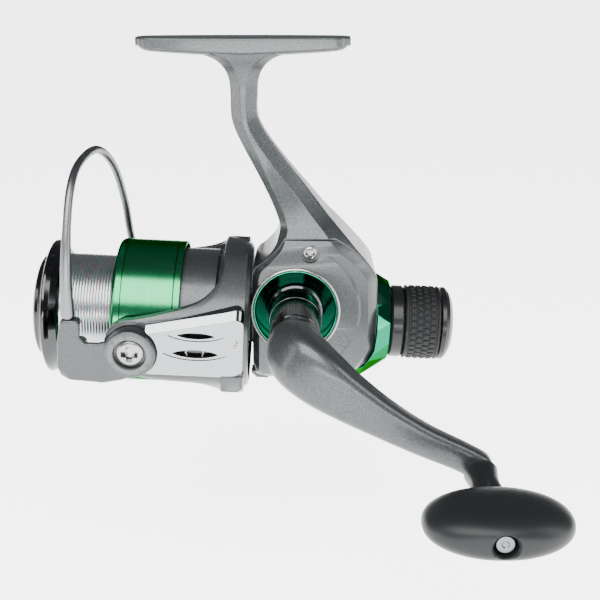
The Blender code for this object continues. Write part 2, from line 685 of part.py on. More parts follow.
def handle_arm(crank, finishes):
    """The bent arm, which swells at the elbow and tapers to the knob's post."""
    out = Vector((1, 0, 0))
    down = Vector((0, math.cos(HANDLE_ANGLE), -math.sin(HANDLE_ANGLE)))
    side = out.cross(down)
    reach = COLLAR_REACH + GAP
    # distance out, distance along the arm, half-width, half-thickness, and below the straight line
    stations = (
        (reach, 0, 7.6, 7.6, 0), (reach + 4.5 * MM, 0, 7.9, 7.8, 0),
        (reach + 9.5 * MM, 3.0 * MM, 8.2, 7.4, 0.2),
        (reach + 12.6 * MM, 9.5 * MM, 7.7, 6.2, 0.7), (reach + 13.8 * MM, 18 * MM, 6.6, 5.2, 1.3),
        (reach + 14.5 * MM, 29 * MM, 5.3, 4.3, 1.6), (reach + 14.9 * MM, 41 * MM, 4.4, 3.7, 1.3),
        (HANDLE_REACH - 0.9 * MM, HANDLE_LENGTH - 5.5 * MM, 4.0, 3.3, 0.3),
        (HANDLE_REACH - 0.2 * MM, HANDLE_LENGTH + 0.8 * MM, 3.9, 3.2, 0),
        (HANDLE_REACH + 0.1 * MM, HANDLE_LENGTH + 3.3 * MM, 2.4, 2.0, 0),
    )
    centres = [out * s[0] + down * s[1] - side * (s[4] * MM) for s in stations]
    rings = []
    for i, (station, centre) in enumerate(zip(stations, centres)):
        along = centres[min(i + 1, len(centres) - 1)] - centres[max(i - 1, 0)]
        if i == 0:
            along = out
        rings.append(section_ring(centre, along, side, station[2] * MM, station[3] * MM, 16, 2.2))
    arm = lofted("handle_arm", finishes["silver"], crank, rings)
    way = rod("post_way", None, crank, HANDLE_REACH - 8 * MM, HANDLE_REACH + 8 * MM, POST_RADIUS + GAP, 14)
    way.location = down * HANDLE_LENGTH
    cut(arm, way)


def knob_post(post, finishes):
    """The pin that the knob turns on, with its head inside the knob's recess."""
    outline = [
        (-4.6 * MM, 0), (-4.6 * MM, POST_RADIUS),
        (KNOB_REACH + KNOB_DEPTH / 2 - HANDLE_REACH - 5.0 * MM, POST_RADIUS),
        (KNOB_REACH + KNOB_DEPTH / 2 - HANDLE_REACH - 5.0 * MM, 0),
    ]
    turned("knob_post", finishes["steel"], post, outline, 16)


def handle_knob(post, finishes):
    """The oval paddle, with a flared stem towards the arm and a round recess at its outer end."""
    start = 4.4 * MM
    middle = KNOB_REACH - HANDLE_REACH
    end = middle + KNOB_DEPTH / 2
    # place along the post, half-width share, half-thickness share
    neck = middle - KNOB_DEPTH / 2 - 0.5 * MM
    stations = [(start, 0.25, 0.52), (start + 2 * MM, 0.21, 0.46), (neck - 2 * MM, 0.24, 0.5)]
    for share in (-0.93, -0.8, -0.6, -0.3, 0.0, 0.3, 0.6, 0.8, 0.93, 0.985):
        full = (1 - abs(share) ** 2.2) ** (1 / 2.2)
        stations.append((middle + share * KNOB_DEPTH / 2, full, 0.25 + 0.75 * full))
    rings = []
    for x, wide, thick in stations:
        ring = section_ring(
            Vector((x, 0, 0)), Vector((1, 0, 0)), Vector((0, 1, 0)), wide * KNOB_WIDTH / 2,
            thick * KNOB_THICK / 2, 18, 2.3
        )
        rings.append(ring)
    knob = lofted("handle_knob", finishes["knob"], post, rings)
    seat = end - 4.2 * MM
    hollow = [
        (0, 0), (0, POST_RADIUS + GAP), (seat, POST_RADIUS + GAP), (seat, 3.0 * MM), (end + MM, 3.0 * MM),
        (end + MM, 0)
    ]
    cut(knob, turned("knob_hollow", None, post, hollow, 18))
    plug = [
        (end - 3.9 * MM, 0), (end - 3.9 * MM, 2.6 * MM), (end - 2.2 * MM, 2.6 * MM),
        (end - 1.6 * MM, 1.8 * MM),
        (end - 1.5 * MM, 0),
    ]
    turned("knob_end_plug", finishes["steel"], post, plug, 16)


# Crosswind -------------------------------------------------------------------------------------------------

def oscillation(level, osc, slider, finishes):
    """The gear with its peg, its axle, and the slider on the main shaft. The peg stops short of the slot."""
    turn = math.atan2(OSC_DROP, -OSC_AXIS_BACK) + math.pi / OSC_LARGE_TEETH
    wheel = gear("oscillation_gear", finishes["brass"], osc, OSC_LARGE_TEETH, AXLE_RADIUS + GAP, turn)
    rise = math.sqrt(PEG_CIRCLE ** 2 - SLIDER_BACK ** 2)
    peg = rod("peg_blank", None, osc, -1.3 * MM, MM, PEG_RADIUS, 16)
    peg.location = (0, SLIDER_BACK, -rise)
    join(wheel, peg)
    axle = [
        (-1.0 * MM, 0), (-1.0 * MM, 2.4 * MM), (-GAP, 2.4 * MM), (-GAP, AXLE_RADIUS), (3.6 * MM, AXLE_RADIUS),
        (3.6 * MM, 0),
    ]
    made = turned("oscillation_axle", finishes["steel"], level, axle, 16)
    along_y(made, (OSC_PLACE[0], -OSC_PLANE, OSC_PLACE[1]))
    back = OSC_AXIS_BACK + SLIDER_BACK
    block = box(
        "oscillation_slider", finishes["zinc"], slider, (back - 2.6 * MM, -3.9 * MM, -11.4 * MM),
        (back + 2.6 * MM, -2.4 * MM, 3.1 * MM),
    )
    hub = box(
        "slider_hub", None, slider, (back - 2.6 * MM, -2.9 * MM, -3.1 * MM),
        (back + 2.6 * MM, 3.1 * MM, 3.1 * MM)
    )
    lug = box(
        "slider_lug", None, slider, (back - 2.6 * MM, -2.9 * MM, -11.0 * MM),
        (back + 2.6 * MM, 7.4 * MM, -5.8 * MM)
    )
    link = box(
        "slider_link", None, slider, (back - 2.6 * MM, 0.6 * MM, -7.0 * MM),
        (back + 2.6 * MM, 3.1 * MM, 0.5 * MM)
    )
    join(block, hub, lug, link)
    guide = beside(
        rod("guide_bore", None, slider, back - 4 * MM, back + 4 * MM, GUIDE_RADIUS + GAP, 12), GUIDE_PLACE
    )
    slot = box(
        "peg_slot", None, slider, (back - 1.6 * MM, -4.5 * MM, OSC_PLACE[1] - PEG_CIRCLE - 1.5 * MM),
        (back + 1.6 * MM, -3.1 * MM, OSC_PLACE[1] + PEG_CIRCLE + 0.8 * MM),
    )
    cut(block, rod("shaft_way", None, slider, back - 4 * MM, back + 4 * MM, SHAFT_BORE, 24), guide, slot)


# Rotor and bail --------------------------------------------------------------------------------------------

def rotor_cup(rotor, finishes):
    rear = -ROTOR_REAR
    web = rear - 6.5 * MM
    groove = rear - 8 * MM
    lip = FLANGE_RADIUS
    outline = [
        (web - 5 * MM, PINION_TUBE + GAP), (web - 5 * MM, 6 * MM), (web - 2 * MM, 6 * MM),
        (web - 2 * MM, ROTOR_RADIUS - 2 * MM), (-ROTOR_FRONT, ROTOR_RADIUS - 2 * MM),
        (-ROTOR_FRONT, ROTOR_RADIUS),
        (groove - 2.2 * MM, ROTOR_RADIUS), (groove - 2.2 * MM, ROTOR_RADIUS - MM),
        (groove, ROTOR_RADIUS - MM),
        (groove, lip - 0.6 * MM), (groove + 0.6 * MM, lip), (rear - 0.7 * MM, lip - 1.5 * MM),
        (rear, lip - 2.2 * MM),
        (rear, lip - 3.6 * MM), (web, lip - 3.6 * MM), (web, PINION_TUBE + GAP),
    ]
    return turned("rotor", finishes["silver"], rotor, outline, 32)


def rotor_arm(name, rotor, side):
    """One of the two arms, on the -Y side for side = -1."""
    rear = -ROTOR_REAR - 0.7 * MM
    root = rear - 6.5 * MM
    upper = [(rear, ARM_HALF + 4 * MM), (root, ARM_HALF + 3 * MM), (root - 4 * MM, ARM_HALF + 0.5 * MM)]
    lower = [(x, -z - ARM_DROP) for x, z in reversed(upper)]
    tip = arc(-PIVOT_FORWARD, 0, BAIL_BOSS - 0.6 * MM, 100, 230, 7) + [(-PIVOT_FORWARD, -ARM_HALF)]
    y0, y1 = sorted((side * ARM_INNER, side * ARM_FACE))
    return prism(name, None, rotor, upper + tip + lower, y0, y1)


def rotor_body(rotor, finishes):
    """The cup, its arms and their roots, with the kick lug at the near arm's rear end."""
    cup = rotor_cup(rotor, finishes)
    rear = -ROTOR_REAR - 0.7 * MM
    inner = ARM_INNER
    for side, word in ((-1, "near"), (1, "far")):
        arm = rotor_arm(f"{word}_arm_blank", rotor, side)
        y0, y1 = sorted((side * (inner + MM), side * (FLANGE_RADIUS - 5.5 * MM)))
        root = box(
            f"{word}_arm_root", None, rotor, (rear - 7.2 * MM, y0, -ARM_HALF - 2 * MM),
            (rear - 1.2 * MM, y1, ARM_HALF + 2 * MM),
        )
        join(cup, arm, root)
        hole = rod(f"{word}_pivot_hole", None, rotor, inner - 3 * MM, inner + 6 * MM, PIVOT_RADIUS + GAP, 16)
        hole.rotation_euler = (0, 0, side * math.pi / 2)
        hole.location = (-PIVOT_FORWARD, 0, 0)
        cut(cup, hole)
    lug = box(
        "kick_lug", None, rotor, (-22.0 * MM, -ARM_FACE, -ARM_HALF - 4.6 * MM),
        (-15.4 * MM, -inner + 2.5 * MM, -ARM_HALF + MM),
    )
    join(cup, lug)
    tail = rod("tail_hole", None, rotor, inner + 0.8 * MM, inner + 8 * MM, 0.9 * MM, 12)
    tail.rotation_euler = (0, 0, -math.pi / 2)
    tail.location = (ARM_SCREW_X, 0, 0)
    cut(cup, tail)


def bail_cover(name, rotor, side, finishes):
    """The chrome shell over an arm, hollow for the bail spring, with two slots through its face."""
    rear = -ROTOR_REAR - 1.4 * MM
    front = -COVER_FRONT
    base = ARM_FACE + GAP
    rise = COVER_RISE
    half = ARM_HALF - 0.7 * MM
    outer = [
        (rear, -half + 2 * MM), (rear, half - 2 * MM), (rear - 2 * MM, half),
        (front + 0.8 * MM, half - 0.6 * MM),
        *arc(-PIVOT_FORWARD, 0, PIVOT_FORWARD - COVER_FRONT + GAP, 40, -40, 6),
        (front + 0.8 * MM, -half + 0.6 * MM), (rear - 2 * MM, -half),
    ]
    inner = [
        (rear - 5.5 * MM, -half + 2.4 * MM), (rear - 5.5 * MM, half - 2.4 * MM),
        (front + 3.4 * MM, half - 2.4 * MM),
        (front + 3.4 * MM, -half + 2.4 * MM),
    ]
    y0, y1 = sorted((side * base, side * (base + rise)))
    shell = prism(name, finishes["chrome"], rotor, outer, y0, y1)
    y0, y1 = sorted((side * (base - MM), side * (base + rise - COVER_ROOF)))
    cut(shell, prism(f"{name}_hollow", None, rotor, inner, y0, y1))
    y0, y1 = sorted((side * base, side * (base + rise + MM)))
    for row in (-3.0 * MM, 3.0 * MM):
        slot = [
            (-37.5 * MM, row), (-35.5 * MM, row + 0.9 * MM), (-27.5 * MM, row + 0.9 * MM), (-25.5 * MM, row),
                (-27.5 * MM, row - 0.9 * MM), (-35.5 * MM, row - 0.9 * MM)]
        cut(shell, prism(f"{name}_slot_{row > 0}", None, rotor, slot, y0, y1))
    if side < 0:
        way = rod(f"{name}_screw_way", None, rotor, base - MM, base + rise + MM, 1.7 * MM, 12)
        way.rotation_euler = (0, 0, -math.pi / 2)
        way.location = (ARM_SCREW_X, 0, 0)
        cut(shell, way)


def radial_screw(name, finish, parent, at, side, length, head, shank):
    """A screw along Y, its head outwards, from the place where its head sits."""
    outline = [(-length, 0), (-length, shank), (0, shank), (0, head), (0.7 * MM, head * 0.94), (0.9 * MM, 0)]
    screw = turned(name, finish, parent, outline, 16)
    screw.rotation_euler = (0, 0, side * math.pi / 2)
    screw.location = at
    return screw


def bail_arm(bail, finishes):
    """The near bail arm: a round boss on the pivot, a plate forward, and the line roller's post."""
    tip = -ROLLER_FORWARD - 4.0 * MM
    post = ROLLER_TOP + 1.6 * MM
    side = [
        *arc(0, 0, BAIL_BOSS, -100, 122, 14), (-6.8 * MM, 3.6 * MM), (-9.4 * MM, 2.9 * MM),
        (-13.6 * MM, 2.9 * MM),
        (-ROLLER_FORWARD + 3.4 * MM, post), (tip + 1.4 * MM, post), (tip + 0.4 * MM, -6.2 * MM),
        (tip + 2.4 * MM, -8.9 * MM),
        (-6 * MM, -9.2 * MM),
    ]
    arm = prism("bail_arm", finishes["silver"], bail, side, -BAIL_FACE, -BAIL_BASE)
    space = box(
        "roller_space", None, bail, (-ROLLER_FORWARD - 3.0 * MM, -BAIL_FACE + 1.2 * MM, 3.6 * MM),
        (-ROLLER_FORWARD + 6.0 * MM, -BAIL_BASE + MM, ROLLER_TOP),
    )
    head = rod("screw_recess", None, bail, BAIL_FACE - 1.5 * MM, BAIL_FACE + MM, 4.6 * MM, 24)
    way = rod("screw_way", None, bail, BAIL_BASE - MM, BAIL_FACE, PIVOT_RADIUS + GAP, 16)
    pin = rod("roller_pin_way", None, bail, 1.0 * MM, ROLLER_TOP + 3 * MM, ROLLER_PIN + GAP / 2, 12)
    cut(arm, space, along_y(head), along_y(way), upright(pin, ROLLER_AXIS), cover_clearance(bail))


def cover_clearance(bail):
    """What the arm loses on its inner side round the boss, so that it swings over the chrome cover."""
    low, front = -ARM_HALF - 1.5 * MM, -13.0 * MM
    outline = [
        (front, low), (front, 4.5 * MM), *arc(0, 0, BAIL_BOSS + 0.1 * MM, 146, 262, 8), (-1.5 * MM, low)
    ]
    return prism("cover_clearance", None, bail, outline, -BAIL_BASE - COVER_RISE - GAP, -BAIL_BASE + MM)


def upright(thing, at):
    """Turns a piece made about X to point up, +Z."""
    thing.rotation_euler = (0, -math.pi / 2, 0)
    thing.location = at
    return thing


def line_roller(bail, roller, finishes):
    low, high = 3.9 * MM, ROLLER_TOP - GAP
    middle = (low + high) / 2
    outline = [
        (low, ROLLER_PIN + GAP), (low, ROLLER_RADIUS), (middle, ROLLER_RADIUS - 0.5 * MM),
        (high, ROLLER_RADIUS),
        (high, ROLLER_PIN + GAP),
    ]
    upright(turned("line_roller", finishes["chrome"], roller, outline, 20), (0, 0, 0))
    upright(
        rod("roller_pin", finishes["steel"], bail, 1.4 * MM, ROLLER_TOP + 1.5 * MM, ROLLER_PIN, 12),
        ROLLER_AXIS
    )


def bail_wire(bail, finishes):
    """The wire from the roller's post over the spool to the far arm, thick where it leaves the post."""
    post = ROLLER_TOP + 1.6 * MM + GAP
    y = BAIL_BASE + 1.9 * MM
    high = BAIL_HEIGHT
    points = [
        Vector((-ROLLER_FORWARD, -y, post)), Vector((-ROLLER_FORWARD, -y + 0.9 * MM, 0.42 * high)),
        Vector((-ROLLER_FORWARD + 0.4 * MM, -y + 4.6 * MM, 0.66 * high)),
        Vector((-ROLLER_FORWARD + 1.2 * MM, -17.4 * MM, 0.88 * high)),
        Vector((-ROLLER_FORWARD + 2.6 * MM, -7.5 * MM, 0.97 * high)),
        Vector((-12.4 * MM, 4.5 * MM, 0.985 * high)),
        Vector((-9.4 * MM, 14.2 * MM, 0.83 * high)), Vector((-8.3 * MM, 24.2 * MM, 0.55 * high)),
        Vector((-8.0 * MM, y - 1.6 * MM, 0.31 * high)), Vector((-7.2 * MM, y, 6.6 * MM)),
    ]
    stations = 28
    rings = []
    for i in range(stations + 1):
        share = i / stations
        here = smooth_path(points, share)
        ahead = smooth_path(points, min(share + 0.01, 1)) - smooth_path(points, max(share - 0.01, 0))
        radius = WIRE_RADIUS + (SLEEVE_RADIUS - WIRE_RADIUS) * max(0, 1 - share / 0.24)
        rings.append(section_ring(here, ahead, Vector((1, 0, 0)), radius, radius, 8, 2.0))
    lofted("bail_wire", finishes["chrome"], bail, rings, smooth=50)


def far_bail_arm(bail, finishes):
    """The far bail arm: a disc on its pivot and the socket that the wire ends over."""
    side = [
        *arc(0, 0, 6.4 * MM, -150, 85, 12), (-4.6 * MM, 6.2 * MM), (-9.8 * MM, 6.2 * MM),
        (-9.6 * MM, 0.5 * MM)
    ]
    arm = prism("far_bail_arm", finishes["silver"], bail, side, BAIL_BASE, BAIL_BASE + 3.8 * MM)
    head = rod("far_screw_recess", None, bail, -BAIL_BASE - 5 * MM, -BAIL_BASE - 2.4 * MM, 4.0 * MM, 24)
    way = rod("far_screw_way", None, bail, -BAIL_BASE - 5 * MM, -BAIL_BASE + MM, PIVOT_RADIUS + GAP, 16)
    cut(arm, along_y(head), along_y(way))


def rotor_fittings(rotor, finishes):
    """Pinion, nut, ratchet, spring and screws that turn with the rotor."""
    pinion(rotor, finishes)
    web = -ROTOR_REAR - 11.5 * MM
    nut = tube(
        "rotor_nut", finishes["steel"], rotor, web - 2.4 * MM, web - GAP, PINION_TUBE + GAP, 5.6 * MM, 12
    )
    nut.data.set_sharp_from_angle(angle=math.radians(20))
    place = -BODY_FRONT + WALL + 3 * GAP
    bore = PINION_TUBE + GAP
    ratchet = gear("ratchet_wheel", finishes["steel"], rotor, RATCHET_TEETH, bore, 0.0, 1.2 * MM, RATCHET_TIP)
    ratchet.location = (place, 0, 0)
    bail_cover("bail_cover_near", rotor, -1, finishes)
    bail_cover("bail_cover_far", rotor, 1, finishes)
    bail_spring(rotor, finishes)
    for side, word in ((-1, "near"), (1, "far")):
        face = BAIL_FACE - 1.5 * MM if side < 0 else BAIL_BASE + 2.4 * MM
        at = (-PIVOT_FORWARD, side * (face + GAP), 0)
        head = 4.0 * MM if side < 0 else 3.5 * MM
        length = face + GAP - (SKIRT_RADIUS + 1.2 * MM)
        radial_screw(f"pivot_screw_{word}", finishes["steel"], rotor, at, side, length, head, PIVOT_RADIUS)
    at = (ARM_SCREW_X, -ARM_FACE - GAP, 0)
    radial_screw("arm_cover_screw", finishes["steel"], rotor, at, -1, 1.6 * MM, 1.3 * MM, 0.6 * MM)


def bail_spring(rotor, finishes):
    """A torsion spring under the near cover, as a bevelled curve."""
    radius, wire, turns, steps = 2.6 * MM, 0.25 * MM, 1.5, 12
    curve = bpy.data.curves.new("bail_spring", "CURVE")
    curve.dimensions = "3D"
    curve.bevel_depth = wire
    curve.bevel_resolution = 1
    curve.use_fill_caps = True
    line = curve.splines.new("POLY")
    count = int(turns * steps) + 1
    line.points.add(count - 1)
    for i in range(count):
        angle = math.tau * i / steps
        y = -ARM_FACE - GAP - wire - 0.6 * MM * i / steps
        line.points[i].co = (-30 * MM + radius * math.cos(angle), y, radius * math.sin(angle), 1)
    made = bpy.data.objects.new("bail_spring", curve)
    bpy.context.collection.objects.link(made)
    made.parent = rotor
    curve.materials.append(finishes["steel"])


def pinion(rotor, finishes):
    """The pinion: a tube through the bearing that ends in helical teeth, bored for the main shaft."""
    count = PINION_TEETH * 4
    front = -ROTOR_REAR - 13.2 * MM
    start = -BODY_FRONT + WALL + 2.4 * MM
    round_ring = [math.tau * i / count for i in range(count)]

    def circle(x, radius, turn=0.0):
        return [Vector((x, radius * math.cos(a + turn), radius * math.sin(a + turn))) for a in round_ring]

    def teeth(x, turn):
        ring = []
        for i, angle in enumerate(round_ring):
            radius = PINION_TIP if i % 4 in (1, 2) else PINION_TUBE - 0.1 * MM
            ring.append(Vector((x, radius * math.cos(angle + turn), radius * math.sin(angle + turn))))
        return ring

    length = 5.0 * MM
    rings = [circle(front, PINION_TUBE), circle(start, PINION_TUBE)]
    rings += [teeth(start + 0.2 * MM + length * i / 3, 0.16 * i) for i in range(4)]
    end = start + 0.2 * MM + length
    rings += [circle(end, SHAFT_BORE, 0.48), circle(front, SHAFT_BORE)]
    bm = bmesh.new()
    rows = [[bm.verts.new(point) for point in ring] for ring in rings]
    for row, after in zip(rows, rows[1:] + rows[:1]):
        for i, corner in enumerate(row):
            j = (i + 1) % count
            bm.faces.new((corner, row[j], after[j], after[i]))
    keep("pinion_gear", bm, finishes["brass"], rotor, smooth=25)


# Spool -----------------------------------------------------------------------------------------------------

def spool_pieces(spool, button, finishes):
    """The spool and the main shaft that carries it."""
    rod(
        "main_shaft", finishes["steel"], spool, -SPOOL_FRONT + HUB_SETBACK + 0.5 * MM, DRAG_FRONT + 3.0 * MM,
        SHAFT_RADIUS
    )
    front, rear = -ARBOR_FRONT, -SKIRT_FRONT - 1.3 * MM
    hub = HUB_RADIUS
    wall = ARBOR_RADIUS - 1.7 * MM
    edge = SKIRT_RADIUS - 1.4 * MM
    core = [
        (-SPOOL_FRONT + HUB_SETBACK, SHAFT_BORE), (-SPOOL_FRONT + HUB_SETBACK, hub), (front - 1.6 * MM, hub),
        (front - 1.6 * MM, ARBOR_RADIUS), (rear, ARBOR_RADIUS), (rear, edge), (rear + 1.2 * MM, edge),
        (rear + 1.2 * MM, wall), (front, wall), (front, hub), (rear, hub), (rear, SHAFT_BORE),
    ]
    turned("spool_core", finishes["alloy"], spool, core, 28)
    base = front - 1.6 * MM - GAP
    edge_x = -SPOOL_FRONT + 4.3 * MM
    lip = [
        (base, hub + GAP), (base, ARBOR_RADIUS + 0.5 * MM), (base - 1.6 * MM, ARBOR_RADIUS + 2.2 * MM),
        (edge_x + 0.3 * MM, LIP_RADIUS - 0.1 * MM), (edge_x - 0.2 * MM, LIP_RADIUS),
        (edge_x - 0.7 * MM, LIP_RADIUS - 0.3 * MM),
        (edge_x - 0.9 * MM, CAP_RADIUS + 0.5 * MM), (edge_x - 0.9 * MM, hub + GAP),
    ]
    turned("spool_lip", finishes["dark"], spool, lip, 32)
    seat = edge_x - 0.9 * MM - GAP
    cap = [
        (seat, BUTTON_RADIUS + GAP), (seat, CAP_RADIUS + 0.2 * MM), (-SPOOL_FRONT + 0.9 * MM, CAP_RADIUS),
        (-SPOOL_FRONT, CAP_RADIUS - 1.2 * MM), (-SPOOL_FRONT + 0.5 * MM, 9 * MM),
        (-SPOOL_FRONT + 0.8 * MM, BUTTON_RADIUS + GAP),
    ]
    turned("spool_cap", finishes["dark"], spool, cap, 28)
    x0, x1 = -SKIRT_FRONT - 2.2 * MM, -SKIRT_REAR
    skirt = [
        (x0, ARBOR_RADIUS + GAP), (x0, SKIRT_RADIUS - 1.3 * MM), (x0 + 0.5 * MM, SKIRT_RADIUS - 0.4 * MM),
        (x0 + 1.4 * MM, SKIRT_RADIUS), (x1 - 0.3 * MM, SKIRT_RADIUS), (x1, SKIRT_RADIUS - 0.3 * MM),
        (x1, SKIRT_RADIUS - 0.9 * MM), (x0 + 0.6 * MM, SKIRT_RADIUS - 0.9 * MM),
        (x0 + 0.6 * MM, ARBOR_RADIUS + GAP),
    ]
    turned("spool_skirt", finishes["green"], spool, skirt, 32)
    inner = -SPOOL_FRONT + HUB_SETBACK - GAP - BUTTON_TRAVEL
    push = [
        (inner, 0), (inner, 3.4 * MM), (inner - MM, BUTTON_RADIUS),
        (-SPOOL_FRONT - 0.6 * MM, BUTTON_RADIUS - 0.1 * MM),
        (-SPOOL_FRONT - 1.0 * MM, BUTTON_RADIUS - 0.9 * MM),
        (-SPOOL_FRONT - 1.2 * MM, 0),
    ]
    turned("spool_button", finishes["black"], button, push, 24)


# Drag ------------------------------------------------------------------------------------------------------

def drag_stack(shaft, hub, finishes):
    """Washers keyed to the hub and washers eared to the housing, turn about."""
    sleeve = 3.1 * MM
    start = 21.4 * MM
    outline = [
        (start - 0.6 * MM, SHAFT_BORE), (start - 0.6 * MM, 5.2 * MM), (start + 0.2 * MM, 5.2 * MM),
        (start + 0.2 * MM, sleeve),
        (DRAG_FRONT - 1.6 * MM, sleeve), (DRAG_FRONT - 1.6 * MM, SHAFT_BORE),
    ]
    turned("drag_hub", finishes["steel"], hub, outline, 24)
    names = (
        "drag_washer_eared_front", "drag_washer_keyed_front", "drag_washer_eared_rear",
        "drag_washer_keyed_rear"
    )
    for number, name in enumerate(names):
        keyed = "keyed" in name
        x = start + 0.2 * MM + GAP + number * (WASHER_THICK + GAP)
        inner = sleeve + GAP
        outer = WASHER_RADIUS - 0.3 * MM if keyed else WASHER_RADIUS
        tube(
            name, finishes["fibre" if keyed else "steel"], hub if keyed else shaft, x, x + WASHER_THICK,
            inner, outer, 24
        )
    wheel = gear("drag_click_wheel", finishes["black"], hub, 18, sleeve + GAP, 0.0, 0.9 * MM)
    wheel.location = (start + 0.2 * MM + GAP + 4 * (WASHER_THICK + GAP), 0, 0)


def drag_knob_pieces(knob, finishes):
    front = DRAG_FRONT
    collar = front + COLLAR_LENGTH
    grip = collar + GRIP_LENGTH
    end = grip + DRAG_CAP_LENGTH
    core = DRAG_RADIUS - 1.5 * MM
    cave = 4.4 * MM
    deep = grip - 3 * MM
    outline = [
        (front, cave), (front, DRAG_RADIUS - 0.7 * MM), (front + 0.4 * MM, DRAG_RADIUS - 0.4 * MM),
        (collar - 0.3 * MM, DRAG_RADIUS - 0.4 * MM), (collar, DRAG_RADIUS - 0.7 * MM), (collar, core),
        (grip, core), (grip, 0),
        (deep, 0), (deep, cave),
    ]
    lock_cap("drag_knob", outline, knob, finishes["black"], 28)
    tube("drag_grip", finishes["rubber"], knob, collar + GAP, grip - GAP, core + GAP, DRAG_RADIUS, 28)
    cap = [
        (grip + GAP, 0), (grip + GAP, DRAG_RADIUS - 0.2 * MM), (end - 1.8 * MM, DRAG_RADIUS - 0.4 * MM),
        (end - 0.5 * MM, DRAG_RADIUS - 1.6 * MM), (end, DRAG_RADIUS - 3.6 * MM), (end, 0),
    ]
    turned("drag_end_cap", finishes["black"], knob, cap, 28)
    tube(
        "drag_screw", finishes["brass"], knob, front + 0.4 * MM, deep - 0.8 * MM, SHAFT_BORE + 0.7 * MM,
        cave - GAP, 16
    )


# Anti-reverse ----------------------------------------------------------------------------------------------

def anti_reverse(lever, finishes):
    """The lever under the belly, on a pin along X that carries the pawl inside."""
    drop = BODY_BOTTOM + LEVER_PLACE[1]
    pin = rod(
        "anti_reverse_lever", finishes["silver"], lever, -BODY_FRONT + 0.4 * MM, -5.6 * MM, LEVER_PIN, 12
    )
    neck = box(
        "lever_neck", None, lever, (-10.0 * MM, -1.1 * MM, -drop - 2.2 * MM), (-7.2 * MM, 1.1 * MM, 0.6 * MM)
    )
    tab = [
        (-13.6 * MM, -drop - LEVER_CLEAR), (-13.6 * MM, -drop - 2.3 * MM), (-11.8 * MM, -drop - 4.0 * MM),
        (-8.4 * MM, -drop - 4.0 * MM), (-6.6 * MM, -drop - 3.0 * MM), (-6.6 * MM, -drop - LEVER_CLEAR),
    ]
    join(pin, neck, prism("lever_tab", None, lever, tab, -LEVER_HALF, LEVER_HALF))
    place = -BODY_FRONT + WALL + 3 * GAP
    swing = -LEVER_PLACE[1]
    reach = swing - RATCHET_TIP - 3 * GAP
    outline = [
        (-1.9 * MM, -1.0 * MM), (1.9 * MM, -1.0 * MM), (1.7 * MM, 2.0 * MM), (0.4 * MM, reach),
        (-0.9 * MM, reach)
    ]
    bm = bmesh.new()
    face = bm.faces.new([bm.verts.new((place, y, z + 0.4 * MM)) for y, z in outline])
    grown = bmesh.ops.extrude_face_region(bm, geom=[face])
    moved = [item for item in grown["geom"] if isinstance(item, bmesh.types.BMVert)]
    bmesh.ops.translate(bm, verts=moved, vec=(1.2 * MM, 0, 0))
    pawl = keep("anti_reverse_pawl", bm, finishes["steel"], lever)
    cut(pawl, rod("pawl_bore", None, lever, place - MM, place + 3 * MM, LEVER_PIN + GAP / 2, 12))


def main():
    clear_scene()
    finishes = paints()
    level = frame("housing_frame", None, (CRANK_FROM_FOOT, 0, -SHAFT_DROP))
    shaft = frame("shaft_frame", level, turn=(0, SHAFT_TILT, 0))
    out = (0, 0, -math.pi / 2)
    crank = frame("crank_axis", level, (0, 0, CRANK_RISE), out)
    post = frame("knob_axis", crank, (HANDLE_REACH, HANDLE_LENGTH * math.cos(HANDLE_ANGLE),
                                      -HANDLE_LENGTH * math.sin(HANDLE_ANGLE)))
    osc = frame("oscillation_axis", level, (OSC_PLACE[0], -OSC_PLANE, OSC_PLACE[1]), out)
    rotor = frame("rotor_axis", shaft, turn=(ROTOR_REST, 0, 0))
    bail = frame("bail_axis", rotor, (-PIVOT_FORWARD, 0, 0))
    roller = frame("roller_axis", bail, ROLLER_AXIS)
    spool = frame("spool_axis", shaft)
    slider = frame("slider_way", shaft)
    button = frame("button_way", spool)
    hub = frame("drag_hub_axis", shaft)
    knob = frame("drag_knob_axis", shaft)
    lever = frame("lever_axis", shaft, (0, *LEVER_PLACE))

    body_housing(level, shaft, finishes)
    side_cover(level, shaft, finishes)
    cover_screws(level, finishes)
    dish(level, finishes)
    handle_boss(level, finishes)
    bearings(level, shaft, finishes)
    slider_guide(shaft, finishes)
    rear_cover(level, shaft, finishes)
    crank_pieces(crank, finishes)
    handle_arm(crank, finishes)
    knob_post(post, finishes)
    handle_knob(post, finishes)
    oscillation(level, osc, slider, finishes)
    rotor_body(rotor, finishes)
    rotor_fittings(rotor, finishes)
    bail_arm(bail, finishes)
    line_roller(bail, roller, finishes)
    bail_wire(bail, finishes)
    far_bail_arm(bail, finishes)
    spool_pieces(spool, button, finishes)
    drag_stack(shaft, hub, finishes)
    drag_knob_pieces(knob, finishes)
    anti_reverse(lever, finishes)


main()
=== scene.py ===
"""A rear-drag spinning reel: the fine surfaces of every piece that shows, and the finishes of the rest.

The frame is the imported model's: +Z out of the foot, +X to the rear, the handle towards -Y. Sizes and
outlines are in millimetres, and the mesh tools turn them into metres. Each piece is made in the frame
of its own joint, so that its local X is the axis that it turns on.
"""
import json
import math

import bmesh
import bpy
from mathutils import Matrix, Vector


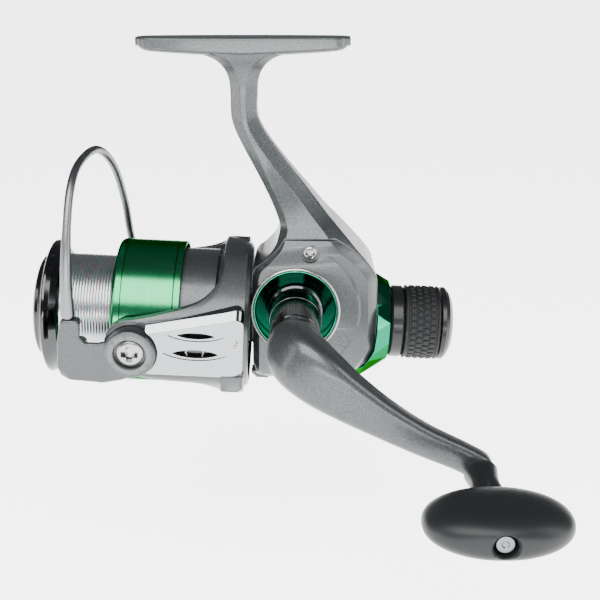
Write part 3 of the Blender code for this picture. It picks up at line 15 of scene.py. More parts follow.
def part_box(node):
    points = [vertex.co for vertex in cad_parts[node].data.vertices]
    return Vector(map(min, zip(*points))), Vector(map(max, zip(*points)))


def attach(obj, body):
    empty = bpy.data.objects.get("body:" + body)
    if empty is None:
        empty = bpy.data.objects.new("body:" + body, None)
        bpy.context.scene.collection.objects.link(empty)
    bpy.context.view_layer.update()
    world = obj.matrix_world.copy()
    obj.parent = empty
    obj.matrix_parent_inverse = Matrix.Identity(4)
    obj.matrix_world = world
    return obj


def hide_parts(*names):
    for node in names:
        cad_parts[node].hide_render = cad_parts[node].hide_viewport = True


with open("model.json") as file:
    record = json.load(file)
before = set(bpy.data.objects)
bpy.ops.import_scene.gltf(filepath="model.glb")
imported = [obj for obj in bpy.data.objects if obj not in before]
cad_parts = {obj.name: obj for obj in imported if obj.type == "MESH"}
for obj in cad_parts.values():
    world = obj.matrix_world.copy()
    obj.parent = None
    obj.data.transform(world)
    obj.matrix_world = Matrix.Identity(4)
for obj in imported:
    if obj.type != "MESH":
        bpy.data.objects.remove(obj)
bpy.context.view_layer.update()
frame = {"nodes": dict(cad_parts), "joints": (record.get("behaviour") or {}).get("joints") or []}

bl_info = {
    "name": "Spinning Reel",
    "version": (1, 0, 0),
    "blender": (4, 5, 0),
    "location": "View3D > Sidebar > Reel",
    "description": "Makes the shells, spool, bail, handle and finishes of a rear-drag spinning reel",
    "category": "Add Mesh",
}

MM = 0.001
JOINTS = {joint["name"]: joint for joint in frame["joints"]}


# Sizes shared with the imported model, in millimetres --------------------

GAP = 0.3
FAR = 50
CASTING_RINGS, FOOT_RINGS, HANDLE_RINGS, WIRE_RINGS = 150, 61, 91, 181
FOOT_LENGTH, FOOT_WIDTH = 63.5, 16
FOOT_THICK, FOOT_TIP_THICK = 5.3, 3.7
BODY_FRONT, BODY_HALF, BODY_BOTTOM = 13.4, 16, 17
WALL = 2
SNOUT_REACH, SNOUT_RADIUS = 5.1, 8.6
COVER_INSIDE, SEAM_HEIGHT = -12.8, 29.4
SEAM_GAP = 0.6
COVER_SCREWS = ((4.5, 25.2), (6.0, -12.0))
DRAG_BORE = 8.99
CRANK_RISE = 7.2
DISH_DEPTH, DISH_INNER, DISH_RADIUS = 2.2, 8.8, 13.4
BOSS_RADIUS, BOSS_REACH = 7.9, 26
COLLAR_RADIUS, COLLAR_REACH = 7.6, 44
HANDLE_ANGLE, HANDLE_LENGTH = math.radians(30.5), 58.5
KNOB_START = 4.4
KNOB_MIDDLE, KNOB_WIDTH, KNOB_DEPTH, KNOB_THICK = 30, 38, 24, 13
ROTOR_RADIUS, ROTOR_FRONT, FLANGE_RADIUS = 20.6, 45, 25
ROTOR_TURN = math.radians(6.5)
PIVOT_FORWARD = 49
ARM_FACE, ARM_THICK, ARM_RIM = 27.2, 2.9, 0.5
COVER_FACE = 29.9
BAIL_BASE, BAIL_FACE, BAIL_BOSS, BAIL_HEIGHT = 27.5, 31.9, 7.7, 51.8
SLOTS = ((-35.2, -23.9, 6.2, 1.0), (-36.6, -22.8, 0.2, 1.35))
ROLLER_TOP = 8.6
PIVOT_BORE = 1.9
WIRE_RADIUS, SLEEVE_RADIUS = 1.25, 2.1
ARBOR_FRONT, ARBOR_RADIUS, SKIRT_RADIUS = 72.6, 17.1, 22.7
DRAG_FRONT, DRAG_RADIUS = 30, 11.9
LEVER_DROP = 11.6


# Frames --------------------

def axes(origin, x_axis, z_axis):
    """A placement whose X is x_axis and whose Z is as near to z_axis as it can be."""
    x = Vector(x_axis).normalized()
    y = Vector(z_axis).cross(x).normalized()
    made = Matrix((x, y, x.cross(y))).transposed().to_4x4()
    made.translation = Vector(origin)
    return made


def joint_place(name):
    return Vector(JOINTS[name]["pos_m"])


def placements():
    """Where each group of pieces is made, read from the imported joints."""
    along = Vector(JOINTS["rotor_turn"]["axis"])
    along *= math.copysign(1, along.x)
    crank_at, on_shaft = joint_place("handle_turn"), joint_place("rotor_turn")
    crank_at.y = 0
    middle = on_shaft + along * ((crank_at.x - on_shaft.x) / along.x)
    knob_at = joint_place("knob_turn")
    knob_at.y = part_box("handle_knob")[1].y + KNOB_START * MM
    shaft = axes(middle, along, (0, 0, 1))
    rotor = shaft @ Matrix.Rotation(ROTOR_TURN, 4, "X")
    bail = rotor @ Matrix.Translation((-PIVOT_FORWARD * MM, 0, 0))
    return {
        "level": axes(middle, (1, 0, 0), (0, 0, 1)),
        "shaft": shaft,
        "spool": shaft,
        "rotor": rotor,
        "bail": bail,
        "roller": axes(bail.translation, rotor.col[2].xyz, -along),
        "crank": axes(crank_at, (0, -1, 0), (0, 0, 1)),
        "knob": axes(knob_at, (0, -1, 0), (0, 0, 1)),
        "lever": shaft @ Matrix.Translation((0, 0, -LEVER_DROP * MM)),
    }


PLACES = placements()


# Mesh tools --------------------

def piece(name, bm, place, sharp=30):
    """Makes an object from a bmesh that was made in one of the placements."""
    bmesh.ops.remove_doubles(bm, verts=bm.verts, dist=1e-7)
    bmesh.ops.dissolve_degenerate(bm, edges=bm.edges, dist=1e-7)
    bmesh.ops.recalc_face_normals(bm, faces=bm.faces)
    mesh = bpy.data.meshes.new(name)
    bm.to_mesh(mesh)
    bm.free()
    mesh.shade_smooth()
    mesh.set_sharp_from_angle(angle=math.radians(sharp))
    made = bpy.data.objects.new(name, mesh)
    bpy.context.scene.collection.objects.link(made)
    made.matrix_world = PLACES[place] if isinstance(place, str) else place
    return made


def rounded(corners, radius, steps=3, closed=False):
    """An outline whose corners are rounded to a radius, held to under half of the sides beside them."""
    count = len(corners)
    out = []
    for i, corner in enumerate(corners):
        point = Vector(corner[:2])
        own = corner[2] if len(corner) > 2 else radius
        if (not closed and i in (0, count - 1)) or own <= 0:
            out.append(tuple(point))
            continue
        before, after = Vector(corners[i - 1][:2]) - point, Vector(corners[(i + 1) % count][:2]) - point
        turn = before.angle(after, math.pi)
        if turn > math.radians(172):
            out.append(tuple(point))
            continue
        reach = min(own / math.tan(turn / 2), before.length * 0.48, after.length * 0.48)
        start, end = point + before.normalized() * reach, point + after.normalized() * reach
        for step in range(steps + 1):
            t = step / steps
            out.append(tuple(start * (1 - t) ** 2 + point * (2 * t * (1 - t)) + end * t ** 2))
    return out


def turned(name, place, outline, steps=96, radius=0.25, sharp=30, soft=3):
    """Spins an outline of (distance along X, radius) about X, with its corners rounded."""
    ring = min(point[1] for point in outline) > 0
    points = rounded(outline, radius, soft, closed=ring)
    bm = bmesh.new()
    row = [bm.verts.new((x * MM, 0, r * MM)) for x, r in points]
    edges = [bm.edges.new(pair) for pair in zip(row, row[1:])]
    if ring:
        edges.append(bm.edges.new((row[-1], row[0])))
    bmesh.ops.spin(
        bm, geom=row + edges, cent=(0, 0, 0), axis=(1, 0, 0), angle=math.tau, steps=steps, use_merge=True
    )
    return piece(name, bm, place, sharp)


def rod(name, place, start, end, radius, steps=48, corner=0.0):
    """A plain cylinder along X."""
    return turned(name, place, [(start, 0), (start, radius), (end, radius), (end, 0)], steps, corner)


def skinned(name, place, rings, sharp=30):
    """Skins a row of rings that have the same number of points, and closes its ends."""
    bm = bmesh.new()
    rows = [[bm.verts.new(point * MM) for point in ring] for ring in rings]
    for row, after in zip(rows, rows[1:]):
        for i, corner in enumerate(row):
            j = (i + 1) % len(row)
            bm.faces.new((corner, row[j], after[j], after[i]))
    bm.faces.new(rows[0])
    bm.faces.new(rows[-1])
    return piece(name, bm, place, sharp)


def plate(name, place, outline, y0, y1, edge=0.3, soft=3, corner=0.0, sharp=30):
    """Extrudes an outline of (x, z) along Y, with its rims bevelled."""
    bm = bmesh.new()
    points = rounded(outline, corner, 4, closed=True) if corner else outline
    face = bm.faces.new([bm.verts.new((x * MM, y0 * MM, z * MM)) for x, z in points])
    grown = bmesh.ops.extrude_face_region(bm, geom=[face])
    moved = [item for item in grown["geom"] if isinstance(item, bmesh.types.BMVert)]
    bmesh.ops.translate(bm, verts=moved, vec=(0, (y1 - y0) * MM, 0))
    if edge:
        rims = [e for e in bm.edges if abs(e.verts[0].co.y - e.verts[1].co.y) < 1e-9]
        bmesh.ops.bevel(
            bm, geom=rims, offset=edge * MM, segments=soft, profile=0.5, affect="EDGES", clamp_overlap=True
        )
    return piece(name, bm, place, sharp)


def carve(target, *tools, operation="DIFFERENCE", sharp=30):
    """Cuts the tools out of the target for good, and removes them."""
    for tool in tools:
        step = target.modifiers.new(tool.name, "BOOLEAN")
        step.operation = operation
        step.object = tool
        step.solver = "EXACT"
    bpy.context.view_layer.update()
    ready = target.evaluated_get(bpy.context.evaluated_depsgraph_get())
    mesh = bpy.data.meshes.new_from_object(ready)
    mesh.name = target.name
    target.modifiers.clear()
    target.data = mesh
    for tool in tools:
        bpy.data.objects.remove(tool, do_unlink=True)
    mesh.shade_smooth()
    mesh.set_sharp_from_angle(angle=math.radians(sharp))
    return target


def soften(target, width, segments=2, angle=30):
    """Bevels the hard edges that are left on a piece."""
    step = target.modifiers.new("edges", "BEVEL")
    step.width = width * MM
    step.segments = segments
    step.limit_method = "ANGLE"
    step.angle_limit = math.radians(angle)
    step.use_clamp_overlap = True
    return target


def arc(radius, start, end, steps):
    """Points on an arc about the origin, by angles in degrees from +X towards +Z."""
    angles = [math.radians(start + (end - start) * i / steps) for i in range(steps + 1)]
    return [(radius * math.cos(a), radius * math.sin(a)) for a in angles]


def smooth_row(points, count):
    """Points at even shares along the Catmull-Rom curve through the given ones."""
    points = [Vector(point) for point in points]
    spans = len(points) - 1
    row = []
    for step in range(count):
        at = min(step * spans / (count - 1), spans - 1e-9)
        i = int(at)
        t = at - i
        p0, p1, p2, p3 = points[max(i - 1, 0)], points[i], points[i + 1], points[min(i + 2, spans)]
        square, cube = 2 * p0 - 5 * p1 + 4 * p2 - p3, 3 * p1 - p0 - 3 * p2 + p3
        row.append(0.5 * (2 * p1 + (p2 - p0) * t + square * t ** 2 + cube * t ** 3))
    return row


def between(table, at):
    """A value read from a table of (place, value), straight between its rows."""
    if at <= table[0][0]:
        return table[0][1]
    for (a, low), (b, high) in zip(table, table[1:]):
        if at <= b:
            t = (at - a) / (b - a)
            return low + (high - low) * t
    return table[-1][1]


def oval_ring(centre, along, wide_way, wide, thick, points=32, power=2.4):
    """A ring across a path, from an ellipse at power 2 to nearly square at a high power."""
    along = along.normalized()
    side = (wide_way - along * wide_way.dot(along)).normalized()
    up = along.cross(side)
    ring = []
    for i in range(points):
        angle = math.tau * (i + 0.5) / points
        c, s = math.cos(angle), math.sin(angle)
        c = math.copysign(abs(c) ** (2 / power), c)
        s = math.copysign(abs(s) ** (2 / power), s)
        ring.append(centre + side * (wide * c) + up * (thick * s))
    return ring


def settle(made, body, slot, *nodes, finish=None):
    """Gives a piece its finish, its body and the nodes that it stands for."""
    made.data.materials.clear()
    made.data.materials.append(finish_named(finish or slot))
    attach(made, body)
    if nodes:
        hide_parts(*nodes)
    even = made.modifiers.new("even_shading", "WEIGHTED_NORMAL")
    even.keep_sharp = True
    return made


# Finishes --------------------

class Wire:
    """One socket in a finish. Python's operators on it add Math nodes."""

    def __init__(self, finish, socket):
        self.finish = finish
        self.socket = socket

    def _math(self, kind, first, second):
        return self.finish.add("ShaderNodeMath", {"operation": kind}, {0: first, 1: second})

    def __add__(self, other):
        return self._math("ADD", self, other)

    def __mul__(self, other):
        return self._math("MULTIPLY", self, other)

    __radd__ = __add__
    __rmul__ = __mul__


class Finish:
    """A material with one Principled shader. Constants are set on its sockets."""

    def __init__(self, name, **constants):
        self.material = bpy.data.materials.new(name)
        self.material.use_nodes = True
        self.tree = self.material.node_tree
        self.shader = self.tree.nodes["Principled BSDF"]
        for key, value in constants.items():
            socket = self.shader.inputs[key.replace("_", " ")]
            socket.default_value = value
        self.place = self.add("ShaderNodeTexCoord", out="Object")

    def add(self, kind, settings=None, sockets=None, out=0):
        """Adds a node of a type: its settings come first, then the values or links of its sockets."""
        node = self.tree.nodes.new(kind)
        for key, value in (settings or {}).items():
            if key == "stops":
                self.fill_ramp(node.color_ramp, value)
            else:
                setattr(node, key, value)
        for key, value in (sockets or {}).items():
            self.feed(node.inputs[key], value)
        return Wire(self, node.outputs[out])

    def feed(self, socket, value):
        if isinstance(value, Wire):
            self.tree.links.new(value.socket, socket)
        else:
            socket.default_value = value

    @staticmethod
    def fill_ramp(ramp, stops):
        while len(ramp.elements) < len(stops):
            ramp.elements.new(0.5)
        for element, (place, colour) in zip(ramp.elements, stops):
            element.position = place
            element.color = colour

    def mix(self, share, low, high):
        """A colour between two others."""
        settings = {"data_type": "RGBA", "clamp_factor": True}
        return self.add("ShaderNodeMix", settings, {0: share, 6: low, 7: high}, out=2)

    def stretch(self, scale):
        """The piece's own coordinates, stretched along each axis."""
        return self.add("ShaderNodeVectorMath", {"operation": "MULTIPLY"}, {0: self.place, 1: scale})

    def noise(self, scale, detail=2.0, rough=0.5, vector=None):
        sockets = {"Vector": vector or self.place, "Scale": scale, "Detail": detail, "Roughness": rough}
        return self.add("ShaderNodeTexNoise", None, sockets)

    def ramp(self, value, *stops):
        return self.add("ShaderNodeValToRGB", {"stops": stops}, {"Fac": value})

    def wear(self, low=0.52, high=0.6):
        """0 on open faces, 1 along the piece's sharp outer edges."""
        edge = self.add("ShaderNodeNewGeometry", out="Pointiness")
        return self.ramp(edge, (low, (0, 0, 0, 1)), (high, (1, 1, 1, 1)))

    def bump(self, height, strength, distance=0.1 * MM):
        normal = self.add(
            "ShaderNodeBump", None, {"Strength": strength, "Distance": distance, "Height": height}
        )
        self.feed(self.shader.inputs["Normal"], normal)

    def give(self, **sockets):
        """Feeds what varies over the surface."""
        for key, value in sockets.items():
            self.feed(self.shader.inputs[key.replace("_", " ")], value)
        return self.material


def shade(colour, factor, lift=0.0):
    """A colour made darker or lighter, with its alpha."""
    return (*(min(max(part * factor + lift, 0.0), 1.0) for part in colour[:3]), 1.0)


def silver_paint(colour):
    """Metallic paint over a die casting: fine flakes, faint orange peel, a clear coat, rubbed edges."""
    finish = Finish("silver_paint", Metallic=0.75, Coat_Weight=0.35, Coat_Roughness=0.16)
    flake = finish.noise(4200.0, 1.0)
    cloud = finish.noise(60.0, 3.0)
    tone = finish.mix(finish.ramp(flake, (0.40, (0, 0, 0, 1)), (0.72, (1, 1, 1, 1))), shade(colour, 0.74),
                      shade(colour, 2.0))
    tone = finish.mix(cloud * 0.25, tone, shade(colour, 0.85))
    tone = finish.mix(finish.wear(0.53, 0.62) * 0.5, tone, shade(colour, 1.5, 0.06))
    finish.bump(flake * 0.6 + finish.noise(420.0, 1.0) * 1.5, 0.16, 0.05 * MM)
    return finish.give(Base_Color=tone, Roughness=0.33 + finish.noise(2600.0, 2.0) * 0.14)


def anodised(name, colour, rough, lines=0.0, spread=0.06):
    """Dyed anodised aluminium. lines is how strong the lathe's marks round its X axis are."""
    finish = Finish(name, Metallic=1.0, Specular_Tint=shade(colour, 1.6))
    marks = finish.noise(1.0, 3.0, 0.6, finish.stretch((9000.0, 12.0, 12.0)))
    tone = finish.mix(finish.noise(90.0, 2.0) * 0.35, colour, shade(colour, 0.7))
    tone = finish.mix(marks * lines, tone, shade(colour, 1.5, 0.05))
    tone = finish.mix(finish.wear(0.55, 0.66) * 0.35, tone, shade(colour, 1.6, 0.22))
    if lines:
        finish.bump(marks, 0.25 * lines, 0.02 * MM)
    return finish.give(
        Base_Color=tone, Roughness=rough + finish.noise(800.0, 3.0) * spread + marks * 0.1 * lines
    )


def plated(name, colour, rough, haze=0.05):
    """Polished plating with faint haze and wiping marks."""
    finish = Finish(name, Metallic=1.0)
    wipe = finish.noise(1.0, 4.0, 0.6, finish.stretch((70.0, 160.0, 900.0)))
    tone = finish.mix(finish.noise(220.0, 3.0) * 0.3, colour, shade(colour, 0.86))
    return finish.give(Base_Color=tone, Roughness=rough + wipe * haze)


def turned_metal(name, colour, rough, marks_scale=7000.0, strength=0.3):
    """Bare metal with the lathe's marks round its own X axis."""
    finish = Finish(name, Metallic=1.0)
    marks = finish.noise(1.0, 3.0, 0.6, finish.stretch((marks_scale, 30.0, 30.0)))
    spots = finish.noise(900.0, 3.0)
    tone = finish.mix(marks * 0.45, colour, shade(colour, 0.72))
    tone = finish.mix(finish.wear(0.54, 0.64) * 0.4, tone, shade(colour, 1.3))
    finish.bump(marks, strength, 0.02 * MM)
    return finish.give(Base_Color=tone, Roughness=rough + marks * 0.12 + spots * 0.08)


def cut_gear(name, colour, rough):
    """Cast or cut gear metal: a fine grain and a film of grease in darker patches."""
    finish = Finish(name, Metallic=1.0, Coat_Weight=0.2, Coat_Roughness=0.2)
    grain = finish.noise(3500.0, 3.0)
    grease = finish.noise(240.0, 3.0)
    tone = finish.mix(grain * 0.4, colour, shade(colour, 0.7))
    tone = finish.mix(
        finish.ramp(grease, (0.5, (0, 0, 0, 1)), (0.75, (1, 1, 1, 1))) * 0.35, tone, shade(colour, 0.5)
    )
    finish.bump(grain, 0.2, 0.03 * MM)
    return finish.give(Base_Color=tone, Roughness=rough + grease * 0.2)


def arbor_metal(colour, bright):
    """The arbor: grooved aluminium behind a printed band that shifts in hue along and round it."""
    finish = Finish("arbor_metal", Metallic=1.0, Coat_Weight=0.3, Coat_Roughness=0.08)
    marks = finish.noise(1.0, 3.0, 0.6, finish.stretch((6500.0, 20.0, 20.0)))
    patch = finish.noise(1.0, 2.0, 0.5, finish.stretch((420.0, 260.0, 260.0)))
    hues = finish.ramp(
        patch, (0.30, (0.42, 0.60, 0.75, 1)), (0.42, (0.45, 0.75, 0.62, 1)), (0.52, (0.80, 0.80, 0.78, 1)),
        (0.62, (0.78, 0.60, 0.72, 1)), (0.74, (0.55, 0.52, 0.80, 1)),
    )
    tone = finish.mix(marks * 0.5, bright, colour)
    tone = finish.mix(0.28, tone, hues)
    return finish.give(Base_Color=tone, Roughness=0.2 + marks * 0.15)


def moulded(name, colour, rough, grain=0.3, scale=2600.0, coat=0.0):
    """Moulded plastic or rubber with a fine grain and scuffed edges."""
    finish = Finish(name, Metallic=0.0, Coat_Weight=coat, Coat_Roughness=0.12, Specular_IOR_Level=0.22)
    fine = finish.noise(scale, 3.0, 0.6)
    scuff = finish.noise(160.0, 4.0)
    tone = finish.mix(fine * 0.35, colour, shade(colour, 1.5, 0.004))
    tone = finish.mix(finish.wear(0.52, 0.62) * scuff, tone, shade(colour, 2.0, 0.03))
    finish.bump(fine, grain, 0.04 * MM)
    return finish.give(Base_Color=tone, Roughness=rough + scuff * 0.12)


def make_finishes(colours):
    """Every finish of the reel, by the name of its slot in the record."""
    return {
        "silver": silver_paint(tuple(colours.silver)),
        "green": anodised("green_anodised", (*colours.green,), 0.14, 0.5),
        "mirror_green": anodised("mirror_green", (*colours.mirror_green,), 0.05, 0.0, 0.02),
        "chrome": plated("polished_chrome", (*colours.chrome,), 0.04),
        "wire": plated("satin_nickel", shade(colours.chrome, 0.55), 0.3, 0.08),
        "dark": plated("black_chrome", (*colours.black_chrome,), 0.1, 0.06),
        "steel": turned_metal("bright_steel", (*colours.steel,), 0.18),
        "brass": cut_gear("gear_brass", (*colours.brass,), 0.22),
        "zinc": cut_gear("gear_zinc", (*colours.zinc,), 0.3),
        "alloy": turned_metal("turned_alloy", (*colours.alloy,), 0.22, 6000.0),
        "arbor": arbor_metal((*colours.alloy,), shade(colours.alloy, 1.9)),
        "rubber": moulded("black_rubber", (*colours.rubber,), 0.55, 0.45, 3200.0),
        "knob": moulded("knob_plastic", (*colours.knob,), 0.34, 0.18, 2400.0),
        "gloss_black": moulded("gloss_black", (*colours.gloss_black,), 0.26, 0.05, 900.0, 0.12),
        "fibre": moulded("drag_fibre", (*colours.fibre,), 0.8, 0.9, 1800.0),
    }


FINISHES = {}


def finish_named(name):
    """One of the finishes. All of them are made when the first is asked for."""
    if not FINISHES:
        FINISHES.update(make_finishes(bpy.context.scene.reel_colours))
    return FINISHES[name]


# Pieces that repeat --------------------

def spot(place, at=(0, 0, 0), side=0):
    """A placement moved inside another, with X turned to its -Y side for side = -1 or its +Y side for 1."""
    turn = Matrix.Rotation(side * math.pi / 2, 4, "Z")
    return PLACES[place] @ Matrix.Translation(Vector(at) * MM) @ turn


def cross_screw(name, where, head, height, shank, length, recess=0.62):
    """A pan-head screw along X with a tapered cross recess. X = 0 is under its head."""
    outline = [
        (-length, 0), (-length, shank * 0.6), (-length + shank * 0.6, shank), (0, shank), (0, head * 0.97),
        (height * 0.35, head), (height * 0.72, head * 0.8), (height, head * 0.4), (height * 1.04, 0),
    ]
    screw = turned(name, where, outline, 64, 0.12)
    for number in range(2):
        rings = []
        for x, share in ((height * -0.5, 0.62), (height * 1.3, 1.15)):
            long, wide = head * recess * share, head * 0.2 * (0.6 + 0.5 * share)
            if number:
                long, wide = wide, long
            rings.append(
                [Vector((x, a, b)) for a, b in ((-long, -wide), (long, -wide), (long, wide), (-long, wide))]
            )
        carve(screw, skinned("blade", where, rings))
    return soften(screw, 0.04, 1, 40)


# Housing --------------------

# Front edge (x, z), rear edge (x, z), half-width, front chamfer, rear chamfer and how deep both go
CASTING = (
    (-10.6, -17.0, 12.3, -17.0, 9.6, 1.8, 1.8, 1.2), (-12.8, -15.2, 17.8, -14.9, 12.2, 2.0, 2.2, 1.6),
    (-13.4, -12.4, 21.6, -12.0, 14.2, 2.0, 2.8, 2.2), (-13.4, -7.0, 24.5, -6.6, 16.0, 2.0, 3.4, 3.0),
    (-13.4, 0.0, 25.3, 0.0, 16.0, 2.0, 3.8, 3.4), (-13.4, 8.0, 25.3, 8.5, 16.0, 2.0, 3.8, 3.4),
    (-13.4, 16.0, 25.1, 16.6, 16.0, 2.0, 4.2, 3.4), (-12.5, 19.8, 22.8, 20.9, 15.9, 2.2, 4.8, 3.4),
    (-9.7, 22.3, 19.4, 24.9, 15.4, 2.4, 5.0, 3.4), (-6.6, 25.8, 16.4, 28.4, 14.4, 2.4, 5.0, 3.4),
    (-5.1, 29.6, 13.4, 31.8, 12.6, 2.3, 4.7, 3.2), (-4.9, 33.0, 9.9, 35.7, 10.4, 2.2, 4.4, 3.0),
    (-7.4, 39.3, 4.3, 42.7, 7.8, 2.1, 4.2, 2.6), (-11.2, 46.9, -1.9, 50.3, 6.0, 2.5, 4.0, 2.2),
    (-15.5, 55.0, -7.5, 57.7, 5.1, 2.8, 3.8, 2.0), (-18.3, 60.9, -10.4, 62.6, 4.6, 2.9, 3.7, 1.8),
    (-19.4, 65.2, -11.4, 66.2, 4.5, 3.0, 3.6, 1.7), (-19.5, 71.0, -11.3, 71.4, 4.5, 3.0, 3.6, 1.7),
    (-19.8, 75.5, -11.0, 75.5, 4.6, 3.0, 3.5, 1.7), (-21.2, 79.0, -9.6, 79.0, 5.4, 3.1, 3.4, 1.8),
    (-24.2, 81.9, -6.6, 81.9, 6.9, 3.8, 3.6, 1.8), (-30.5, 84.4, -0.3, 84.4, 7.9, 5.0, 5.0, 1.2),
)


def casting_rings():
    """Rings up the casting, each an octagon with rounded corners, wide at the gear case and slim above."""
    rings = []
    front = smooth_row([(row[0], row[1], row[4]) for row in CASTING], CASTING_RINGS)
    rear = smooth_row([(row[2], row[3], row[7]) for row in CASTING], CASTING_RINGS)
    chamfers = smooth_row([(row[5], row[6], 0) for row in CASTING], CASTING_RINGS)
    for left, right, (near_cut, far_cut, _) in zip(front, rear, chamfers):
        wide, deep = left[2], right[2]
        start, end = Vector((left[0], 0, left[1])), Vector((right[0], 0, right[1]))
        span = (end - start).length
        corners = [
            (near_cut, -wide), (span - far_cut, -wide), (span, -wide + deep), (span, wide - deep),
            (span - far_cut, wide), (near_cut, wide), (0, wide - deep), (0, -wide + deep),
        ]
        ring = rounded(corners, 0.9, 2, closed=True)
        rings.append([start + (end - start) * (u / span) + Vector((0, v, 0)) for u, v in ring])
    return rings


def slab(name, place, low, high):
    """A box from its lowest to its highest corner, as a cutter."""
    outline = [(low[0], low[2]), (high[0], low[2]), (high[0], high[2]), (low[0], high[2])]
    return plate(name, place, outline, low[1], high[1], edge=0)


def foot_piece():
    """The foot: flat on top, its sides chamfered under, thinner and rounder at its two ends."""
    half, rings = FOOT_LENGTH / 2, []
    for step in range(FOOT_RINGS):
        share = -math.cos(math.pi * step / (FOOT_RINGS - 1))
        wide = FOOT_WIDTH / 2 * (1 - 0.28 * abs(share) ** 2.5) * math.sqrt(max(1 - abs(share) ** 26, 0.35))
        thick = FOOT_THICK - (FOOT_THICK - FOOT_TIP_THICK) * abs(share) ** 1.2
        thick *= math.sqrt(max(1 - abs(share) ** 22, 0.45))
        corners = [
            (-wide, 0, 0.5), (wide, 0, 0.5), (wide, -thick * 0.82, 0.8), (wide * 0.8, -thick, 0.8),
            (-wide * 0.8, -thick, 0.8), (-wide, -thick * 0.82, 0.8),
        ]
        rings.append([Vector((share * half, y, z)) for y, z in rounded(corners, 0.5, 4, closed=True)])
    return skinned("foot_blank", Matrix.Identity(4), rings, 25)


def body_housing():
    """Foot, stem and gear case in one casting, hollow for the gears and open on the handle's side."""
    case = skinned("housing_shell", "level", casting_rings(), 24)
    carve(case, foot_piece(), operation="UNION", sharp=24)
    snout = turned("snout", "shaft", [
        (-BODY_FRONT - SNOUT_REACH, 0), (-BODY_FRONT - SNOUT_REACH, SNOUT_RADIUS),
        (-BODY_FRONT - 1, SNOUT_RADIUS), (-BODY_FRONT + 1.2, SNOUT_RADIUS + 1.2), (-BODY_FRONT + 1.2, 0),
    ])
    carve(case, snout, operation="UNION", sharp=24)
    cavity = [
        (-11.4, -14.0), (12.0, -14.0), (15.5, -13.2), (19.5, -9.5), (20.5, -6.0), (20.5, 16.0),
        (12.0, 24.4), (-3.0, 24.4), (-11.4, 16.5),
    ]
    front = -BODY_FRONT
    carve(
        case,
        plate("cavity", "level", cavity, -BODY_HALF - 2, BODY_HALF - WALL - 0.5, 0, corner=2),
        slab("cover_space", "level", (-FAR, -FAR, -FAR), (FAR, COVER_INSIDE + GAP, SEAM_HEIGHT + 0.12)),
        turned("pinion_way", "shaft", [
            (front - SNOUT_REACH - 1, 0), (front - SNOUT_REACH - 1, 6.9), (front - 1.4, 6.9),
            (front - 1.4, 4.4), (front + 4, 4.4), (front + 4, 0),
        ], 64),
        rod("drag_bore", "shaft", 19, 27.4, DRAG_BORE, 72, 0.25),
        rod("rod_way", spot("level", (0, 0, CRANK_RISE), 1), 0, BODY_HALF + 1, 3.0, 48, 0.25),
        slab("lever_slot", "shaft", (-10.6, -5.4, -20), (-6.6, 5.4, -13)),
        sharp=24,
    )
    settle(case, "housing", "silver", "body_housing")


def side_cover():
    """The cover on the handle's side: a chamfered slab with a round raised field about the dish."""
    cover = skinned("side_cover_plate", "level", casting_rings(), 24)
    carve(
        cover,
        slab("cover_slab", "level", (-FAR, -FAR, -FAR), (FAR, COVER_INSIDE - 0.1, SEAM_HEIGHT - SEAM_GAP)),
        operation="INTERSECT", sharp=24,
    )
    face = BODY_HALF - 0.75
    about = spot("level", (0, 0, CRANK_RISE), -1)
    carve(
        cover,
        turned("field_edge", about, [
            (face, 20.2), (BODY_HALF + 2, 17.2), (BODY_HALF + 2, FAR), (face, FAR),
        ], 128, 0.15),
        turned("dish_space", about, [
            (6, 0), (6, 3.9), (BODY_HALF - DISH_DEPTH - GAP, 3.9),
            (BODY_HALF - DISH_DEPTH - GAP, DISH_INNER + GAP), (BODY_HALF + GAP, DISH_RADIUS + 0.45),
            (BODY_HALF + 3, DISH_RADIUS + 0.45), (BODY_HALF + 3, 0),
        ], 128, 0.1),
        sharp=24,
    )
    for number, place in enumerate(COVER_SCREWS):
        way = turned(f"screw_way_{number}", spot("level", (place[0], 0, place[1]), -1), [
            (9, 0), (9, 1.3), (14.2, 1.3), (14.2, 2.85), (20, 2.85), (20, 0),
        ], 64, 0)
        carve(cover, way, sharp=24)
    soften(cover, 0.28, 3, 42)
    settle(cover, "housing", "silver", "side_cover")
    for name, place in zip(("cover_screw_upper", "cover_screw_lower"), COVER_SCREWS):
        where = spot("level", (place[0], -14.25, place[1]), -1)
        screw = cross_screw(f"{name}_head", where, 2.1, 0.8, 1.0, 1.4, 0.7)
        settle(screw, "housing", "steel", name)


